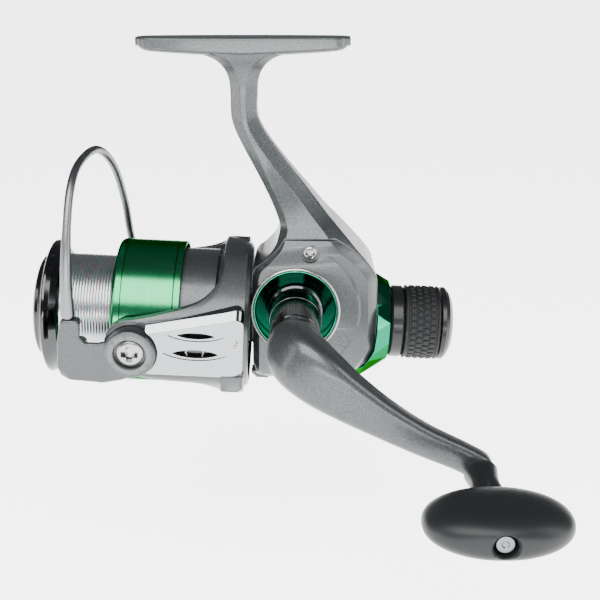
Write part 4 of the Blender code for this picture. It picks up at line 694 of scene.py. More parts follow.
def dish_pieces():
    """The green cone about the handle, its bright rim, and the fixed sleeve with its end ring."""
    about = spot("level", (0, 0, CRANK_RISE), -1)
    y, low = BODY_HALF, BODY_HALF - DISH_DEPTH
    cone = turned("dish_cone", about, [
        (low, 5.2), (low, DISH_INNER), (y - 0.15, DISH_RADIUS - 0.5), (y + 0.3, DISH_RADIUS - 0.5),
        (y + 0.3, DISH_RADIUS - 1.0), (y - 0.3, DISH_RADIUS - 1.2), (low + 0.9, DISH_INNER + 0.6),
        (low + 0.6, DISH_INNER - 0.6), (low + 0.6, 5.2),
    ], 160, 0.25)
    settle(cone, "housing", "green", "dish_ring", finish="mirror_green")
    rim = turned("dish_rim", about, [
        (y - 0.2, DISH_RADIUS - 0.4), (y - 0.2, DISH_RADIUS + 0.4), (y + 0.5, DISH_RADIUS + 0.4),
        (y + 0.8, DISH_RADIUS), (y + 0.5, DISH_RADIUS - 0.6),
    ], 160, 0.2)
    settle(rim, "housing", "steel")
    start = low + 0.9
    boss = turned("boss_sleeve", about, [
        (start, 3.8), (start, 8.4), (start + 1.6, 8.4), (start + 2.1, BOSS_RADIUS - 0.3),
        (BOSS_REACH - 3.2, BOSS_RADIUS - 0.3), (BOSS_REACH - 2.7, BOSS_RADIUS), (BOSS_REACH, BOSS_RADIUS),
        (BOSS_REACH, 3.8),
    ], 128, 0.3)
    settle(boss, "housing", "dark", "handle_boss")


def rear_cover():
    """The mirror-green end of the housing: a ring of triangular facets that tapers to the drag knob."""
    sides, rings = 12, []
    turn = math.pi / sides
    sections = (
        (15.0, 17.9, 0), (21.6, 17.9, 0), (29.6, 12.9, turn), (29.6, 9.2, turn), (28.7, 9.0, turn),
        (15.0, 9.0, 0),
    )
    for x, radius, twist in sections:
        angles = [math.tau * i / sides + twist for i in range(sides)]
        rings.append([Vector((x, radius * math.cos(a), radius * math.sin(a))) for a in angles])
    bm = bmesh.new()
    rows = [[bm.verts.new(point * MM) for point in ring] for ring in rings]
    for number, (row, after) in enumerate(zip(rows, rows[1:] + rows[:1])):
        for i, corner in enumerate(row):
            j = (i + 1) % sides
            if number == 1:
                bm.faces.new((corner, row[j], after[i]))
                bm.faces.new((row[j], after[j], after[i]))
            elif number == 4:
                bm.faces.new((corner, row[j], after[j]))
                bm.faces.new((corner, after[j], after[i]))
            else:
                bm.faces.new((corner, row[j], after[j], after[i]))
    cover = piece("rear_cover_shell", bm, "shaft", 5)
    lower = CASTING[:12]
    side = [(row[0], row[1]) for row in lower] + [(row[2] + 0.12, row[3]) for row in reversed(lower)]
    carve(cover, plate("casting_side", "level", side, -2 * BODY_HALF, 2 * BODY_HALF, 0), sharp=5)
    soften(cover, 0.16, 2, 8)
    settle(cover, "housing", "green", "rear_cover", finish="mirror_green")


# Handle --------------------

def handle_arm():
    """The bent arm: round at the collar, an elbow, then a long taper with a soft ridge to the knob."""
    out = Vector((1, 0, 0))
    down = Vector((0, math.cos(HANDLE_ANGLE), -math.sin(HANDLE_ANGLE)))
    side = out.cross(down)
    reach = COLLAR_REACH + 0.3
    # distance out, distance along the arm, half-width, half-thickness, and how far below the straight line
    stations = (
        (reach, 0, 7.5, 7.5, 0), (reach + 4.5, 0, 7.8, 7.7, 0), (reach + 9.5, 3.0, 8.1, 7.3, 0.2),
        (reach + 12.6, 9.5, 7.7, 6.2, 0.7), (reach + 13.8, 18, 6.6, 5.2, 1.3),
        (reach + 14.5, 29, 5.3, 4.3, 1.6), (reach + 14.9, 41, 4.4, 3.7, 1.3), (59.1, 53.0, 4.0, 3.3, 0.3),
        (59.8, 59.3, 3.9, 3.2, 0), (60.1, 61.8, 2.4, 2.0, 0),
    )
    places = smooth_row([(s[0], s[1], s[4]) for s in stations], HANDLE_RINGS)
    sizes = smooth_row([(s[2], s[3], 0) for s in stations], HANDLE_RINGS)
    centres = [(out * x + down * d - side * drop) for x, d, drop in places]
    rings = []
    for i, (centre, (wide, thick, _)) in enumerate(zip(centres, sizes)):
        along = centres[min(i + 1, HANDLE_RINGS - 1)] - centres[max(i - 1, 0)]
        if i < 2:
            along = out
        square = 2.0 + 1.3 * min(i / 20, 1)
        rings.append(oval_ring(centre, along, side, wide, thick, 48, square))
    tip, last = centres[-1], rings[-1]
    for share in (0.75, 0.35):
        shift = (centres[-1] - centres[-3]).normalized() * (1 - share ** 2) * 1.1
        rings.append([tip + (point - tip) * share + shift for point in last])
    arm = skinned("handle_lever", "crank", rings, 40)
    post_way = turned("post_way", PLACES["crank"] @ Matrix.Translation(down * HANDLE_LENGTH * MM), [
        (52, 0), (52, 2.0), (61.4, 2.0), (62.6, 3.0), (68, 3.0), (68, 0),
    ], 48, 0)
    carve(arm, post_way, sharp=40)
    settle(arm, "crank", "silver", "handle_arm")
    collar = turned("collar_sleeve", "crank", [
        (BOSS_REACH + GAP, 2.6), (BOSS_REACH + GAP, COLLAR_RADIUS - 0.5), (BOSS_REACH + 1.3, COLLAR_RADIUS),
        (COLLAR_REACH - 4.2, COLLAR_RADIUS - 0.25), (COLLAR_REACH - 3.6, COLLAR_RADIUS - 0.9),
        (COLLAR_REACH - 2.9, COLLAR_RADIUS - 0.9), (COLLAR_REACH - 2.4, COLLAR_RADIUS),
        (COLLAR_REACH, COLLAR_RADIUS), (COLLAR_REACH, 2.6),
    ], 128, 0.25)
    settle(collar, "crank", "dark", "handle_collar")


def handle_knob():
    """The oval paddle, its flared stem towards the arm and its round recess with the post's end plug."""
    start, middle = KNOB_START, KNOB_MIDDLE
    end = middle + KNOB_DEPTH / 2
    stations = [
        (start, 3.9, 3.5), (start + 0.35, 4.6, 4.2), (start + 1.6, 4.4, 3.9),
    ]
    neck = middle - KNOB_DEPTH / 2 - 0.5
    stations += [(start + 0.5 * (neck - start), 3.9, 3.1), (neck - 1.2, 4.4, 3.2)]
    for step in range(1, 40):
        share = -math.cos(math.pi * step / 40)
        full = (1 - abs(share) ** 2.25) ** (1 / 2.25)
        flare = 0.10 * max(0.0, -share - 0.8) / 0.2
        stations.append((middle + share * KNOB_DEPTH / 2, (full + flare) * KNOB_WIDTH / 2,
                         (0.22 + 0.78 * full) * KNOB_THICK / 2))
    rings = [
        oval_ring(Vector((x, 0, 0)), Vector((1, 0, 0)), Vector((0, 1, 0)), w, t, 72, 2.25) for x, w,
        t in stations
    ]
    tip, last = Vector((end, 0, 0)), rings[-1]
    rings.append([tip + (point - tip) * 0.55 for point in last])
    knob = skinned("knob_paddle", "knob", rings, 50)
    seat = end - 4.2
    hollow = turned("knob_hollow", "knob", [
        (0, 0), (0, 2.05), (seat, 2.05), (seat, 3.0), (end - 0.9, 3.1), (end + 0.2, 3.9), (end + 2, 4.6),
        (end + 2, 0),
    ], 64, 0.1)
    carve(knob, hollow, sharp=50)
    settle(knob, "handle_knob", "knob", "handle_knob")
    plug = turned("post_end_plug", "knob", [
        (end - 3.9, 0), (end - 3.9, 2.6), (end - 2.3, 2.6), (end - 1.8, 2.2), (end - 1.7, 1.0),
        (end - 2.0, 0.7), (end - 2.0, 0),
    ], 64, 0.15)
    settle(plug, "crank", "steel", "knob_end_plug", finish="wire")
    cap = turned("lock_cap", "crank", [
        (-BODY_HALF - GAP, 2.6), (-BODY_HALF - GAP, 7.0), (-BODY_HALF - 1.5, 7.4), (-BODY_HALF - 6.0, 6.8),
        (-BODY_HALF - 7.8, 5.2), (-BODY_HALF - 7.8, 2.6),
    ], 96, 0.5)
    for number in range(16):
        angle = math.tau * number / 16
        flute = turned("flute", spot("crank", (0, 7.7 * math.cos(angle), 7.7 * math.sin(angle))), [
            (-BODY_HALF - 9, 0), (-BODY_HALF - 9, 0.8), (-BODY_HALF - 2.2, 0.7), (-BODY_HALF - 1.8, 0),
        ], 16, 0)
        carve(cap, flute)
    settle(cap, "crank", "gloss_black", "handle_lock_cap")


# Rotor and bail --------------------

def arm_edge(x, table):
    """How high or low an arm reaches at a place along X. It rounds off past the bail's pivot."""
    beyond = -PIVOT_FORWARD - x
    if beyond > 0:
        return between(table, -PIVOT_FORWARD) * math.sqrt(max(1 - (beyond / 8.4) ** 2, 0.004))
    return between(table, x)


def arm_skin(z):
    """How far out the arm's face lies at a height: flat in the middle, curling in above and below."""
    over = max(abs(z) - 9.0, 0.0)
    share = min(over / 13.0, 1.0)
    radius = ARM_FACE + 1.45 - 3.4 * share * share * (3 - 2 * share)
    return min(ARM_FACE, math.sqrt(max(radius ** 2 - z ** 2, 1.0)))


def rotor_arm(word, side):
    """One arm, which sweeps out of the flange and narrows towards the bail's pivot."""
    upper = smooth_row([(-49, 0, 9.0), (-40.3, 0, 10.9), (-31, 0, 13.4), (-26.5, 0, 15.8), (-23.6, 0, 19.0),
                        (-22.0, 0, 22.6), (-19, 0, 23.6), (-15.7, 0, 23.8)], 60)
    lower = smooth_row([
        (-49, 0, -9.9), (-40.3, 0, -11.7), (-31, 0, -12.4), (-26.5, 0, -13.8), (-23.6, 0, -16.5),
        (-22.0, 0, -20.6), (-19, 0, -22.0), (-15.7, 0, -22.4),
    ], 60)
    tops = [(point.x, point.z) for point in upper]
    feet = [(point.x, point.z) for point in lower]
    rings = []
    count, columns = 90, 28
    for step in range(count + 1):
        share = step / count
        x = -57.38 + (57.38 - 15.7) * (1 - math.cos(math.pi * share)) / 2
        top, foot = arm_edge(x, tops), arm_edge(x, feet)
        heights = [foot + (top - foot) * i / columns for i in range(columns + 1)]
        outer = []
        for z in heights:
            near_edge = min(top - z, z - foot)
            ease = ARM_RIM * (1 - math.sqrt(max(1 - (1 - min(near_edge / 1.2, 1)) ** 2, 0)))
            outer.append(Vector((x, side * (arm_skin(z) - ease), z)))
        inner = [
            Vector((x, side * (arm_skin(z) - ARM_THICK), z * 0.985)) for z in reversed(heights)
        ]
        rings.append(outer + inner)
    return skinned(f"{word}_arm_blank", "rotor", rings, 35)


def rotor_body():
    """The cup with its flange, two swept arms and the kick lug."""
    rear, web, groove, lip = -14.3, -21.5, -23.0, FLANGE_RADIUS
    cup = turned("rotor_cup", "rotor", [
        (web - 5, 3.5), (web - 5, 6), (web - 2, 6), (web - 2, ROTOR_RADIUS - 2),
        (-ROTOR_FRONT, ROTOR_RADIUS - 2), (-ROTOR_FRONT, ROTOR_RADIUS), (groove - 2.0, ROTOR_RADIUS),
        (groove - 1.6, ROTOR_RADIUS - 1.4), (groove, ROTOR_RADIUS - 1.4), (groove, lip - 0.6),
        (groove + 0.6, lip), (rear - 2.4, lip - 0.7), (rear - 0.4, lip - 2.2), (rear, lip - 3.0),
        (rear, lip - 3.8), (web, lip - 3.8), (web, 3.5),
    ], 160, 0.4)
    for side, word in ((-1, "near"), (1, "far")):
        carve(cup, rotor_arm(word, side), operation="UNION", sharp=35)
        pivot = spot("rotor", (-PIVOT_FORWARD, 0, 0), side)
        carve(cup, rod("pivot_hole", pivot, 20, 32, PIVOT_BORE, 32), sharp=35)
    lug = plate("kick_lug", "rotor", [
        (-22.2, -8.0), (-15.4, -8.0), (-15.4, -12.2), (-16.8, -13.6), (-22.2, -13.6),
    ], -ARM_FACE - 0.5, -ARM_FACE + 5, 0.5, 3, 0.8)
    carve(cup, lug, operation="UNION", sharp=35)
    settle(cup, "rotor", "silver", "rotor")


def leaf(x0, x1, z, half, steps=14):
    """A slot's outline: round in the middle and drawn out to a point at each end."""
    upper = []
    for i in range(steps + 1):
        u = -math.cos(math.pi * i / steps)
        upper.append((x0 + (x1 - x0) * (u + 1) / 2, half * (1 - u * u) ** 0.8))
    return [*((x, z + h) for x, h in upper), *((x, z - h) for x, h in reversed(upper[1:-1]))]


def bail_cover(word, side):
    """The chrome shell over an arm: a flat face, a broad bevel above, and two slots that end in points, each
    with a dark sheet inside as painted shade.
    """
    rings = []
    front, rear, count = -44.5, -15.6, 70
    for step in range(count + 1):
        x = front + (rear - front) * (1 - math.cos(math.pi * step / count)) / 2
        top = 8.5 + (x - front) / (rear - front) * 6.4
        foot = -7.6
        past = max(x - (rear - 3.0), 0) / 3.0
        bend = max(x - (rear - 8.5), 0) / 8.5
        top -= 2.6 * (1 - math.sqrt(max(1 - past ** 2, 0)))
        foot += 2.2 * (1 - math.sqrt(max(1 - past ** 2, 0)))
        face = COVER_FACE - 1.7 * (1 - math.sqrt(1 - 0.98 * bend ** 2))
        skin = ARM_FACE + 0.1
        corners = [
            (skin, foot), (face - 0.7, foot + 0.15, 0.3), (face, foot + 0.9, 0.5), (face, top - 2.6, 0.8),
            (face - 2.0, top - 0.1, 0.5), (arm_skin(top) + 0.1, top - 0.2),
            (arm_skin((top + foot) / 2 + 3) + 0.1, (top + foot) / 2 + 3),
        ]
        rings.append([Vector((x, side * y, z)) for y, z in rounded(corners, 0, 4, closed=True)])
    shell = skinned(f"{word}_cover_shell", "rotor", rings, 32)
    pivot = spot("rotor", (-PIVOT_FORWARD, 0, 0), side)
    carve(shell, rod("boss_way", pivot, 20, 34, 8.15, 96), sharp=32)
    y0, y1 = sorted((side * (ARM_FACE - 1), side * (COVER_FACE + 1)))
    shallow = sorted((side * (COVER_FACE - 0.35), side * (COVER_FACE + 1)))
    deep = sorted((side * (ARM_FACE + 0.15), side * (ARM_FACE + 0.6)))
    for number, (x0, x1, z, half) in enumerate(SLOTS):
        carve(shell, plate("rim", "rotor", leaf(x0 - 2.7, x1 + 2.7, z, half + 0.75), *shallow, 0), sharp=32)
        carve(shell, plate("slot", "rotor", leaf(x0, x1, z, half), y0, y1, 0), sharp=32)
        # Painted shade: a dark black-chrome sheet just over the arm's face in each slot, to darken the
        # slot's inside.
        painted_shade_sheet = plate(
            f"{word}_slot_painted_shade_{number}", "rotor", leaf(x0 - 0.4, x1 + 0.4, z, half + 0.15), *deep, 0
        )
        settle(painted_shade_sheet, "rotor", "dark")
    soften(shell, 0.14, 2, 35)
    settle(shell, "rotor", "chrome", f"bail_cover_{word}")


def rotor_screws():
    """The two pivot screws and the small screw at the near cover's rear end."""
    for side, word, face, head in ((-1, "near", BAIL_FACE - 1.4, 4.2), (1, "far", BAIL_BASE + 2.5, 3.4)):
        where = spot("rotor", (-PIVOT_FORWARD, side * face, 0), side)
        screw = cross_screw(
            f"pivot_screw_head_{word}", where, head, 1.15, 1.6, face - 25.0, 0.6
        )
        settle(screw, "rotor", "steel", f"pivot_screw_{word}")
    where = spot("rotor", (-18.3, -COVER_FACE + 0.75, 3.9), -1)
    screw = cross_screw("cover_screw_small", where, 1.35, 0.6, 0.6, 2.0)
    settle(screw, "rotor", "steel", "arm_cover_screw")


def bail_arm():
    """The near bail arm, with its boss, its plate and the line roller's forked post, and the far arm."""
    outline = [
        (7.3, -1.5), (7.3, 1.5), (4.4, 6.0), (0.8, 7.3), (-3.6, 6.3), (-6.8, 3.7), (-9.4, 3.0),
        (-13.2, 3.0), (-14.5, 5.0), (-14.4, 10.2), (-20.0, 10.2), (-21.3, 3.0), (-21.6, -5.4),
        (-20.6, -8.2), (-18.0, -9.7), (-8.0, -10.2), (-2.4, -8.9), (2.5, -6.8), (5.9, -4.6),
    ]
    arm = plate("bail_lever", "bail", outline, -BAIL_FACE + 0.5, -BAIL_BASE, 0.75, 4, 1.6, 35)
    near_side = spot("bail", side=-1)
    boss = turned("boss_disc", near_side, [
        (BAIL_BASE, 0), (BAIL_BASE, BAIL_BOSS), (BAIL_FACE, BAIL_BOSS), (BAIL_FACE, 6.3), (BAIL_FACE, 0),
    ], 96, 0.9, soft=5)
    carve(arm, boss, operation="UNION", sharp=35)
    clearance = [(-13.0, -12.0), (-13.0, 4.5), *arc(7.8, 146, 262, 16), (-1.5, -12.0)]
    near = turned("screw_recess", near_side, [
        (BAIL_FACE - 1.6, 0), (BAIL_FACE - 1.6, 4.75), (BAIL_FACE - 0.5, 4.75), (BAIL_FACE + 1, 5.6),
        (BAIL_FACE + 1, 0),
    ], 96, 0)
    way = rod("screw_way", near_side, BAIL_BASE - 1, BAIL_FACE, PIVOT_BORE)
    space = slab("roller_space", "bail", (-21.0, -BAIL_FACE + 1.2, 3.6),
                 (-12.0, -BAIL_BASE + 1, ROLLER_TOP))
    cover_way = plate("cover_way", "bail", clearance, -COVER_FACE - GAP, -BAIL_BASE + 1, 0)
    carve(arm, near, way, space, cover_way, sharp=35)
    settle(arm, "bail", "silver", "bail_arm")
    far = [*arc(6.4, -150, 85, 24), (-4.6, 6.2), (-9.8, 6.2), (-9.6, 0.5)]
    arm = plate("far_bail_lever", "bail", far, BAIL_BASE, BAIL_BASE + 3.8, 0.6, 3, 0, 35)
    far_side = spot("bail", side=1)
    recess = rod("far_recess", far_side, BAIL_BASE + 2.4, BAIL_BASE + 5, 4.0, 64)
    way = rod("far_way", far_side, BAIL_BASE - 1, BAIL_BASE + 4, PIVOT_BORE)
    carve(arm, recess, way, sharp=35)
    settle(arm, "bail", "silver", "far_bail_arm")


def bail_wire():
    """The bail wire, which tapers out of a sleeve over the roller's post, and the line roller below it."""
    post = ROLLER_TOP + 1.6 + GAP
    y, high = BAIL_BASE + 1.9, BAIL_HEIGHT
    route = [
        (-18.0, -y, post), (-18.2, -y + 0.9, 0.42 * high), (-18.3, -y + 4.6, 0.66 * high),
        (-18.2, -17.4, 0.88 * high), (-17.4, -7.5, 0.975 * high), (-14.4, 4.5, 0.99 * high),
        (-11.2, 14.2, 0.84 * high), (-9.6, 24.2, 0.55 * high), (-8.6, y - 1.6, 0.31 * high), (-7.2, y, 6.6),
    ]
    path = smooth_row(route, WIRE_RINGS)
    rings = []
    for i, here in enumerate(path):
        share = i / (WIRE_RINGS - 1)
        ahead = path[min(i + 1, WIRE_RINGS - 1)] - path[max(i - 1, 0)]
        radius = WIRE_RADIUS + (SLEEVE_RADIUS - WIRE_RADIUS) * max(0, 1 - share / 0.24) ** 0.9
        if share < 0.012:
            radius -= 0.3 * (1 - share / 0.012)
        rings.append(oval_ring(here, ahead, Vector((1, 0, 0)), radius, radius, 28, 2.0))
    wire = skinned("bail_loop", "bail", rings, 50)
    settle(wire, "bail", "chrome", "bail_wire", finish="wire")
    low, top = 3.9, ROLLER_TOP - GAP
    middle = (low + top) / 2
    roller_at = PLACES["roller"].copy()
    roller_at.translation = PLACES["bail"] @ (Vector((-18.0, -BAIL_BASE - 0.7, 0)) * MM)
    roller = turned("roller_wheel", roller_at, [
        (low, 1.1), (low, 2.0), (middle - 0.5, 1.5), (middle + 0.5, 1.5), (top, 2.0), (top, 1.1),
    ], 64, 0.12)
    settle(roller, "line_roller", "chrome", "line_roller")


# Spool --------------------

def spool_pieces(sizes):
    """The lip, the cap, the grooved arbor, the green skirt and the release button."""
    lip = turned("lip_flare", "spool", [
        (-72.9, 5.8), (-72.9, 17.6), (-73.6, 18.6), (-75.4, 20.4), (-76.7, 21.2), (-77.5, 21.2),
        (-77.9, 20.6), (-77.9, 5.8),
    ], 192, 0.5, soft=5)
    settle(lip, "spool", "dark", "spool_lip")
    cap = turned("front_cap", "spool", [
        (-78.2, 5.3), (-78.2, 17.6), (-78.9, 17.6), (-79.2, 16.7), (-79.6, 16.2), (-80.7, 15.9),
        (-81.3, 14.8), (-81.3, 13.2), (-80.7, 12.4), (-80.5, 9), (-80.9, 7.4), (-80.9, 5.3),
    ], 192, 0.35, soft=4)
    settle(cap, "spool", "dark", "spool_cap")
    front, rear = -ARBOR_FRONT, -55.4
    deep, pitch = sizes.groove_depth / MM, sizes.groove_pitch / MM
    grooves = []
    for i in range(int((rear - front - 1.0) / pitch)):
        x = front + 0.6 + i * pitch
        grooves += [
            (x, ARBOR_RADIUS, 0), (x + pitch * 0.3, ARBOR_RADIUS - deep, 0),
            (x + pitch * 0.6, ARBOR_RADIUS, 0),
        ]
    core = turned("arbor", "spool", [
        (-76.3, 2.3), (-76.3, 5.5), (front - 1.6, 5.5), (front - 1.6, ARBOR_RADIUS), *grooves,
        (rear, ARBOR_RADIUS), (rear, 22.2), (rear + 1.2, 22.2), (rear + 1.2, 15.4), (front, 15.4),
        (front, 5.5), (rear, 5.5), (rear, 2.3),
    ], 160, 0.15)
    settle(core, "spool", "alloy", "spool_core", finish="arbor")
    x0, x1 = -56.3, -35.6
    skirt = turned("skirt_shell", "spool", [
        (x0, 17.4), (x0, SKIRT_RADIUS - 0.4, 1.3), (x0 + 0.9, SKIRT_RADIUS, 0.8),
        (x0 + 2.6, SKIRT_RADIUS, 0), (x0 + 2.75, SKIRT_RADIUS - 0.15, 0), (x0 + 2.9, SKIRT_RADIUS, 0),
        (x1 - 2.3, SKIRT_RADIUS, 0), (x1 - 2.1, SKIRT_RADIUS - 0.2, 0), (x1 - 1.9, SKIRT_RADIUS, 0),
        (x1, SKIRT_RADIUS, 0.25), (x1, SKIRT_RADIUS - 0.9), (x0 + 0.6, SKIRT_RADIUS - 0.9),
        (x0 + 0.6, 17.4),
    ], 192, 0.2, soft=5)
    settle(skirt, "spool", "green", "spool_skirt")
    push = turned("release_button", "spool", [
        (-77.4, 0), (-77.4, 3.4), (-78.4, 5.0), (-81.6, 4.9), (-82.3, 4.1), (-82.5, 2.2), (-82.2, 0),
    ], 96, 0.4, soft=4)
    settle(push, "spool_button", "gloss_black", "spool_button")


# Rear drag --------------------

def drag_knob(sizes):
    """The collar, the rubber grip with its rows of raised pads, and the domed end cap."""
    front = DRAG_FRONT
    collar, grip, end = front + 4.5, front + 15.8, front + 19.8
    core = turned("knob_core", "shaft", [
        (front, 4.4), (front, DRAG_RADIUS - 0.9), (front + 0.7, DRAG_RADIUS - 0.35),
        (collar - 0.9, DRAG_RADIUS - 0.35), (collar - 0.2, DRAG_RADIUS - 0.9), (collar, DRAG_RADIUS - 1.5),
        (grip, DRAG_RADIUS - 1.5), (grip, 2.6), (grip - 3, 2.6), (grip - 3, 4.4),
    ], 128, 0.3)
    settle(core, "drag_knob", "gloss_black", "drag_knob")
    base = DRAG_RADIUS - 0.55
    sleeve = turned("grip_sleeve", "shaft", [
        (collar + GAP, DRAG_RADIUS - 1.2), (collar + GAP, DRAG_RADIUS - 0.1),
        (collar + 0.9, DRAG_RADIUS - 0.1), (collar + 1.1, base), (grip - 1.1, base),
        (grip - 0.9, DRAG_RADIUS - 0.1), (grip - GAP, DRAG_RADIUS - 0.1), (grip - GAP, DRAG_RADIUS - 1.2),
    ], 144, 0.2)
    bm = bmesh.new()
    bm.from_mesh(sleeve.data)
    pitch = sizes.pad_pitch / MM
    rows = int((grip - collar - 2.4) / pitch)
    around = int(math.tau * DRAG_RADIUS / pitch)
    start = (collar + grip - rows * pitch) / 2
    for row in range(rows):
        x = start + (row + 0.5) * pitch
        for number in range(around):
            angle = math.tau * (number + 0.5 * (row % 2)) / around
            grip_pad(bm, x, angle, base, pitch)
    bm.to_mesh(sleeve.data)
    bm.free()
    settle(sleeve, "drag_knob", "rubber", "drag_grip")
    cap = turned("drag_dome", "shaft", [
        (grip + GAP, 0), (grip + GAP, DRAG_RADIUS - 0.3), (grip + 1.6, DRAG_RADIUS - 0.15),
        (end - 1.2, DRAG_RADIUS - 1.2, 1.6), (end, DRAG_RADIUS - 3.6, 0.8), (end, 6.4, 0.2),
        (end - 0.5, 6.0, 0.2), (end - 0.5, 0),
    ], 128, 0.3, soft=6)
    settle(cap, "drag_knob", "gloss_black", "drag_end_cap")


def grip_pad(bm, x, angle, base, pitch):
    """One raised pad of the grip: a small pillow on the sleeve."""
    rows = []
    for lift, half in ((-0.12, 0.42), (0.18, 0.41), (0.42, 0.34), (0.5, 0.22)):
        spread = pitch * half
        ring = []
        for u, v in ((-1, -0.7), (-0.7, -1), (0.7, -1), (1, -0.7), (1, 0.7), (0.7, 1), (-0.7, 1), (-1, 0.7)):
            turn = angle + v * spread / DRAG_RADIUS
            radius = base + lift
            point = Vector((x + u * spread, radius * math.cos(turn), radius * math.sin(turn)))
            ring.append(bm.verts.new(point * MM))
        rows.append(ring)
    for row, after in zip(rows, rows[1:]):
        for i, corner in enumerate(row):
            j = (i + 1) % len(row)
            bm.faces.new((corner, row[j], after[j], after[i])).smooth = True
    bm.faces.new(rows[-1]).smooth = True
    bm.faces.new(rows[0][::-1])


def lever():
    """The anti-reverse lever: a pin, a neck through the belly and a ribbed thumb tab."""
    drop = BODY_BOTTOM - LEVER_DROP
    pin = rod("reverse_lever", "lever", -BODY_FRONT + 0.4, -5.6, 1.4, 32, 0.1)
    neck = slab(
        "lever_neck", "lever", (-10.0, -1.1, -drop - 2.2), (-7.2, 1.1, 0.6)
    )
    tab = plate("lever_tab", "lever", [
        (-13.6, -drop - 1.6), (-13.6, -drop - 2.3), (-11.8, -drop - 4.0), (-8.4, -drop - 4.0),
        (-6.6, -drop - 3.0), (-6.6, -drop - 1.6),
    ], -2.6, 2.6, 0.35, 3, 0.4)
    carve(pin, neck, tab, operation="UNION", sharp=35)
    settle(pin, "anti_reverse", "silver", "anti_reverse_lever")


# Add-on --------------------

def length(name, description, default):
    """A length that a user can change."""
    return bpy.props.FloatProperty(
        name=name, description=description, default=default, min=0.0, precision=5, unit="LENGTH",
        subtype="DISTANCE"
    )


def colour(name, description, red, green, blue):
    """A linear colour that a user can change."""
    return bpy.props.FloatVectorProperty(
        name=name, description=description, default=(red, green, blue, 1.0), size=4, min=0.0, max=1.0,
        subtype="COLOR"
    )


class ReelSizes(bpy.types.PropertyGroup):
    """Sizes of the fine detail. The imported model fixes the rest."""

    groove_pitch: length("Groove pitch", "Distance between the arbor's grooves", 0.9 * MM)
    groove_depth: length("Groove depth", "Depth of the arbor's grooves", 0.12 * MM)
    pad_pitch: length("Pad pitch", "Distance between the raised pads of the drag grip", 2.1 * MM)


class ReelColours(bpy.types.PropertyGroup):
    """Colours of the finishes."""

    silver: colour("Silver paint", "Metallic paint of the castings", 0.040, 0.044, 0.0455)
    green: colour("Green", "Anodised spool skirt", 0.013, 0.19, 0.070)
    mirror_green: colour("Mirror green", "Dish ring and rear cover", 0.005, 0.165, 0.085)
    chrome: colour("Chrome", "Polished covers, bail wire and line roller", 0.27, 0.28, 0.29)
    black_chrome: colour("Black chrome", "Handle boss, collar, spool lip and cap", 0.050, 0.050, 0.052)
    steel: colour("Steel", "Screws, shafts and bearings", 0.30, 0.30, 0.29)
    brass: colour("Brass", "Pinion and its fittings", 0.72, 0.50, 0.22)
    zinc: colour("Zinc", "Cast gears", 0.46, 0.47, 0.48)
    alloy: colour("Alloy", "Turned aluminium", 0.115, 0.12, 0.125)
    rubber: colour("Rubber", "Drag grip", 0.0045, 0.005, 0.0055)
    knob: colour("Knob", "Handle knob", 0.0065, 0.0075, 0.008)
    gloss_black: colour("Gloss black", "Drag knob, end cap and button", 0.004, 0.0043, 0.0046)
    fibre: colour("Fibre", "Drag washers", 0.09, 0.08, 0.07)
    floor: colour("Floor", "The studio's floor", 0.92, 0.92, 0.92)


class ReelView(bpy.types.PropertyGroup):
    """The camera and the studio's lights."""

    pitch: bpy.props.FloatProperty(
        name="Pitch", description="How far the camera looks down", default=math.radians(18.5),
        subtype="ANGLE"
    )
    distance: length("Distance", "From the camera to the point that it looks at", 0.329)
    lens: bpy.props.FloatProperty(
        name="Lens", description="Focal length", default=61.2, min=1.0, unit="CAMERA"
    )
    light: bpy.props.FloatProperty(
        name="Light", description="Power of the key light in watts", default=9.0, min=0.0
    )
    floor_drop: length("Floor drop", "How far the floor lies under the foot's seat", 0.185)


class HousingOperator(bpy.types.Operator):
    """Make the cast body with its foot and stem"""

    bl_idname = "reel.housing"
    bl_label = "Housing"

    def execute(self, context):
        body_housing()
        return {"FINISHED"}


class SideCoverOperator(bpy.types.Operator):
    """Make the side cover and its two screws"""

    bl_idname = "reel.side_cover"
    bl_label = "Side cover"

    def execute(self, context):
        side_cover()
        return {"FINISHED"}


class DishOperator(bpy.types.Operator):
    """Make the mirror dish, its rim and the handle's boss"""

    bl_idname = "reel.dish"
    bl_label = "Dish and boss"

    def execute(self, context):
        dish_pieces()
        return {"FINISHED"}


class RearCoverOperator(bpy.types.Operator):
    """Make the faceted rear cover"""

    bl_idname = "reel.rear_cover"
    bl_label = "Rear cover"

    def execute(self, context):
        rear_cover()
        return {"FINISHED"}


class HandleOperator(bpy.types.Operator):
    """Make the handle's arm and collar"""

    bl_idname = "reel.handle"
    bl_label = "Handle"

    def execute(self, context):
        handle_arm()
        return {"FINISHED"}


class KnobOperator(bpy.types.Operator):
    """Make the handle's knob, the post's end plug and the lock cap"""

    bl_idname = "reel.knob"
    bl_label = "Handle knob"

    def execute(self, context):
        handle_knob()
        return {"FINISHED"}


class RotorOperator(bpy.types.Operator):
    """Make the rotor with its two arms"""

    bl_idname = "reel.rotor"
    bl_label = "Rotor"

    def execute(self, context):
        rotor_body()
        return {"FINISHED"}


class CoversOperator(bpy.types.Operator):
    """Make the two chrome arm covers and the rotor's screws"""

    bl_idname = "reel.arm_covers"
    bl_label = "Arm covers"

    def execute(self, context):
        bail_cover("near", -1)
        bail_cover("far", 1)
        rotor_screws()
        return {"FINISHED"}


class BailOperator(bpy.types.Operator):
    """Make the bail arms, the bail wire and the line roller"""

    bl_idname = "reel.bail"
    bl_label = "Bail"

    def execute(self, context):
        bail_arm()
        bail_wire()
        return {"FINISHED"}


class SpoolOperator(bpy.types.Operator):
    """Make the spool and its release button"""

    bl_idname = "reel.spool"
    bl_label = "Spool"

    def execute(self, context):
        spool_pieces(context.scene.reel_sizes)
        return {"FINISHED"}


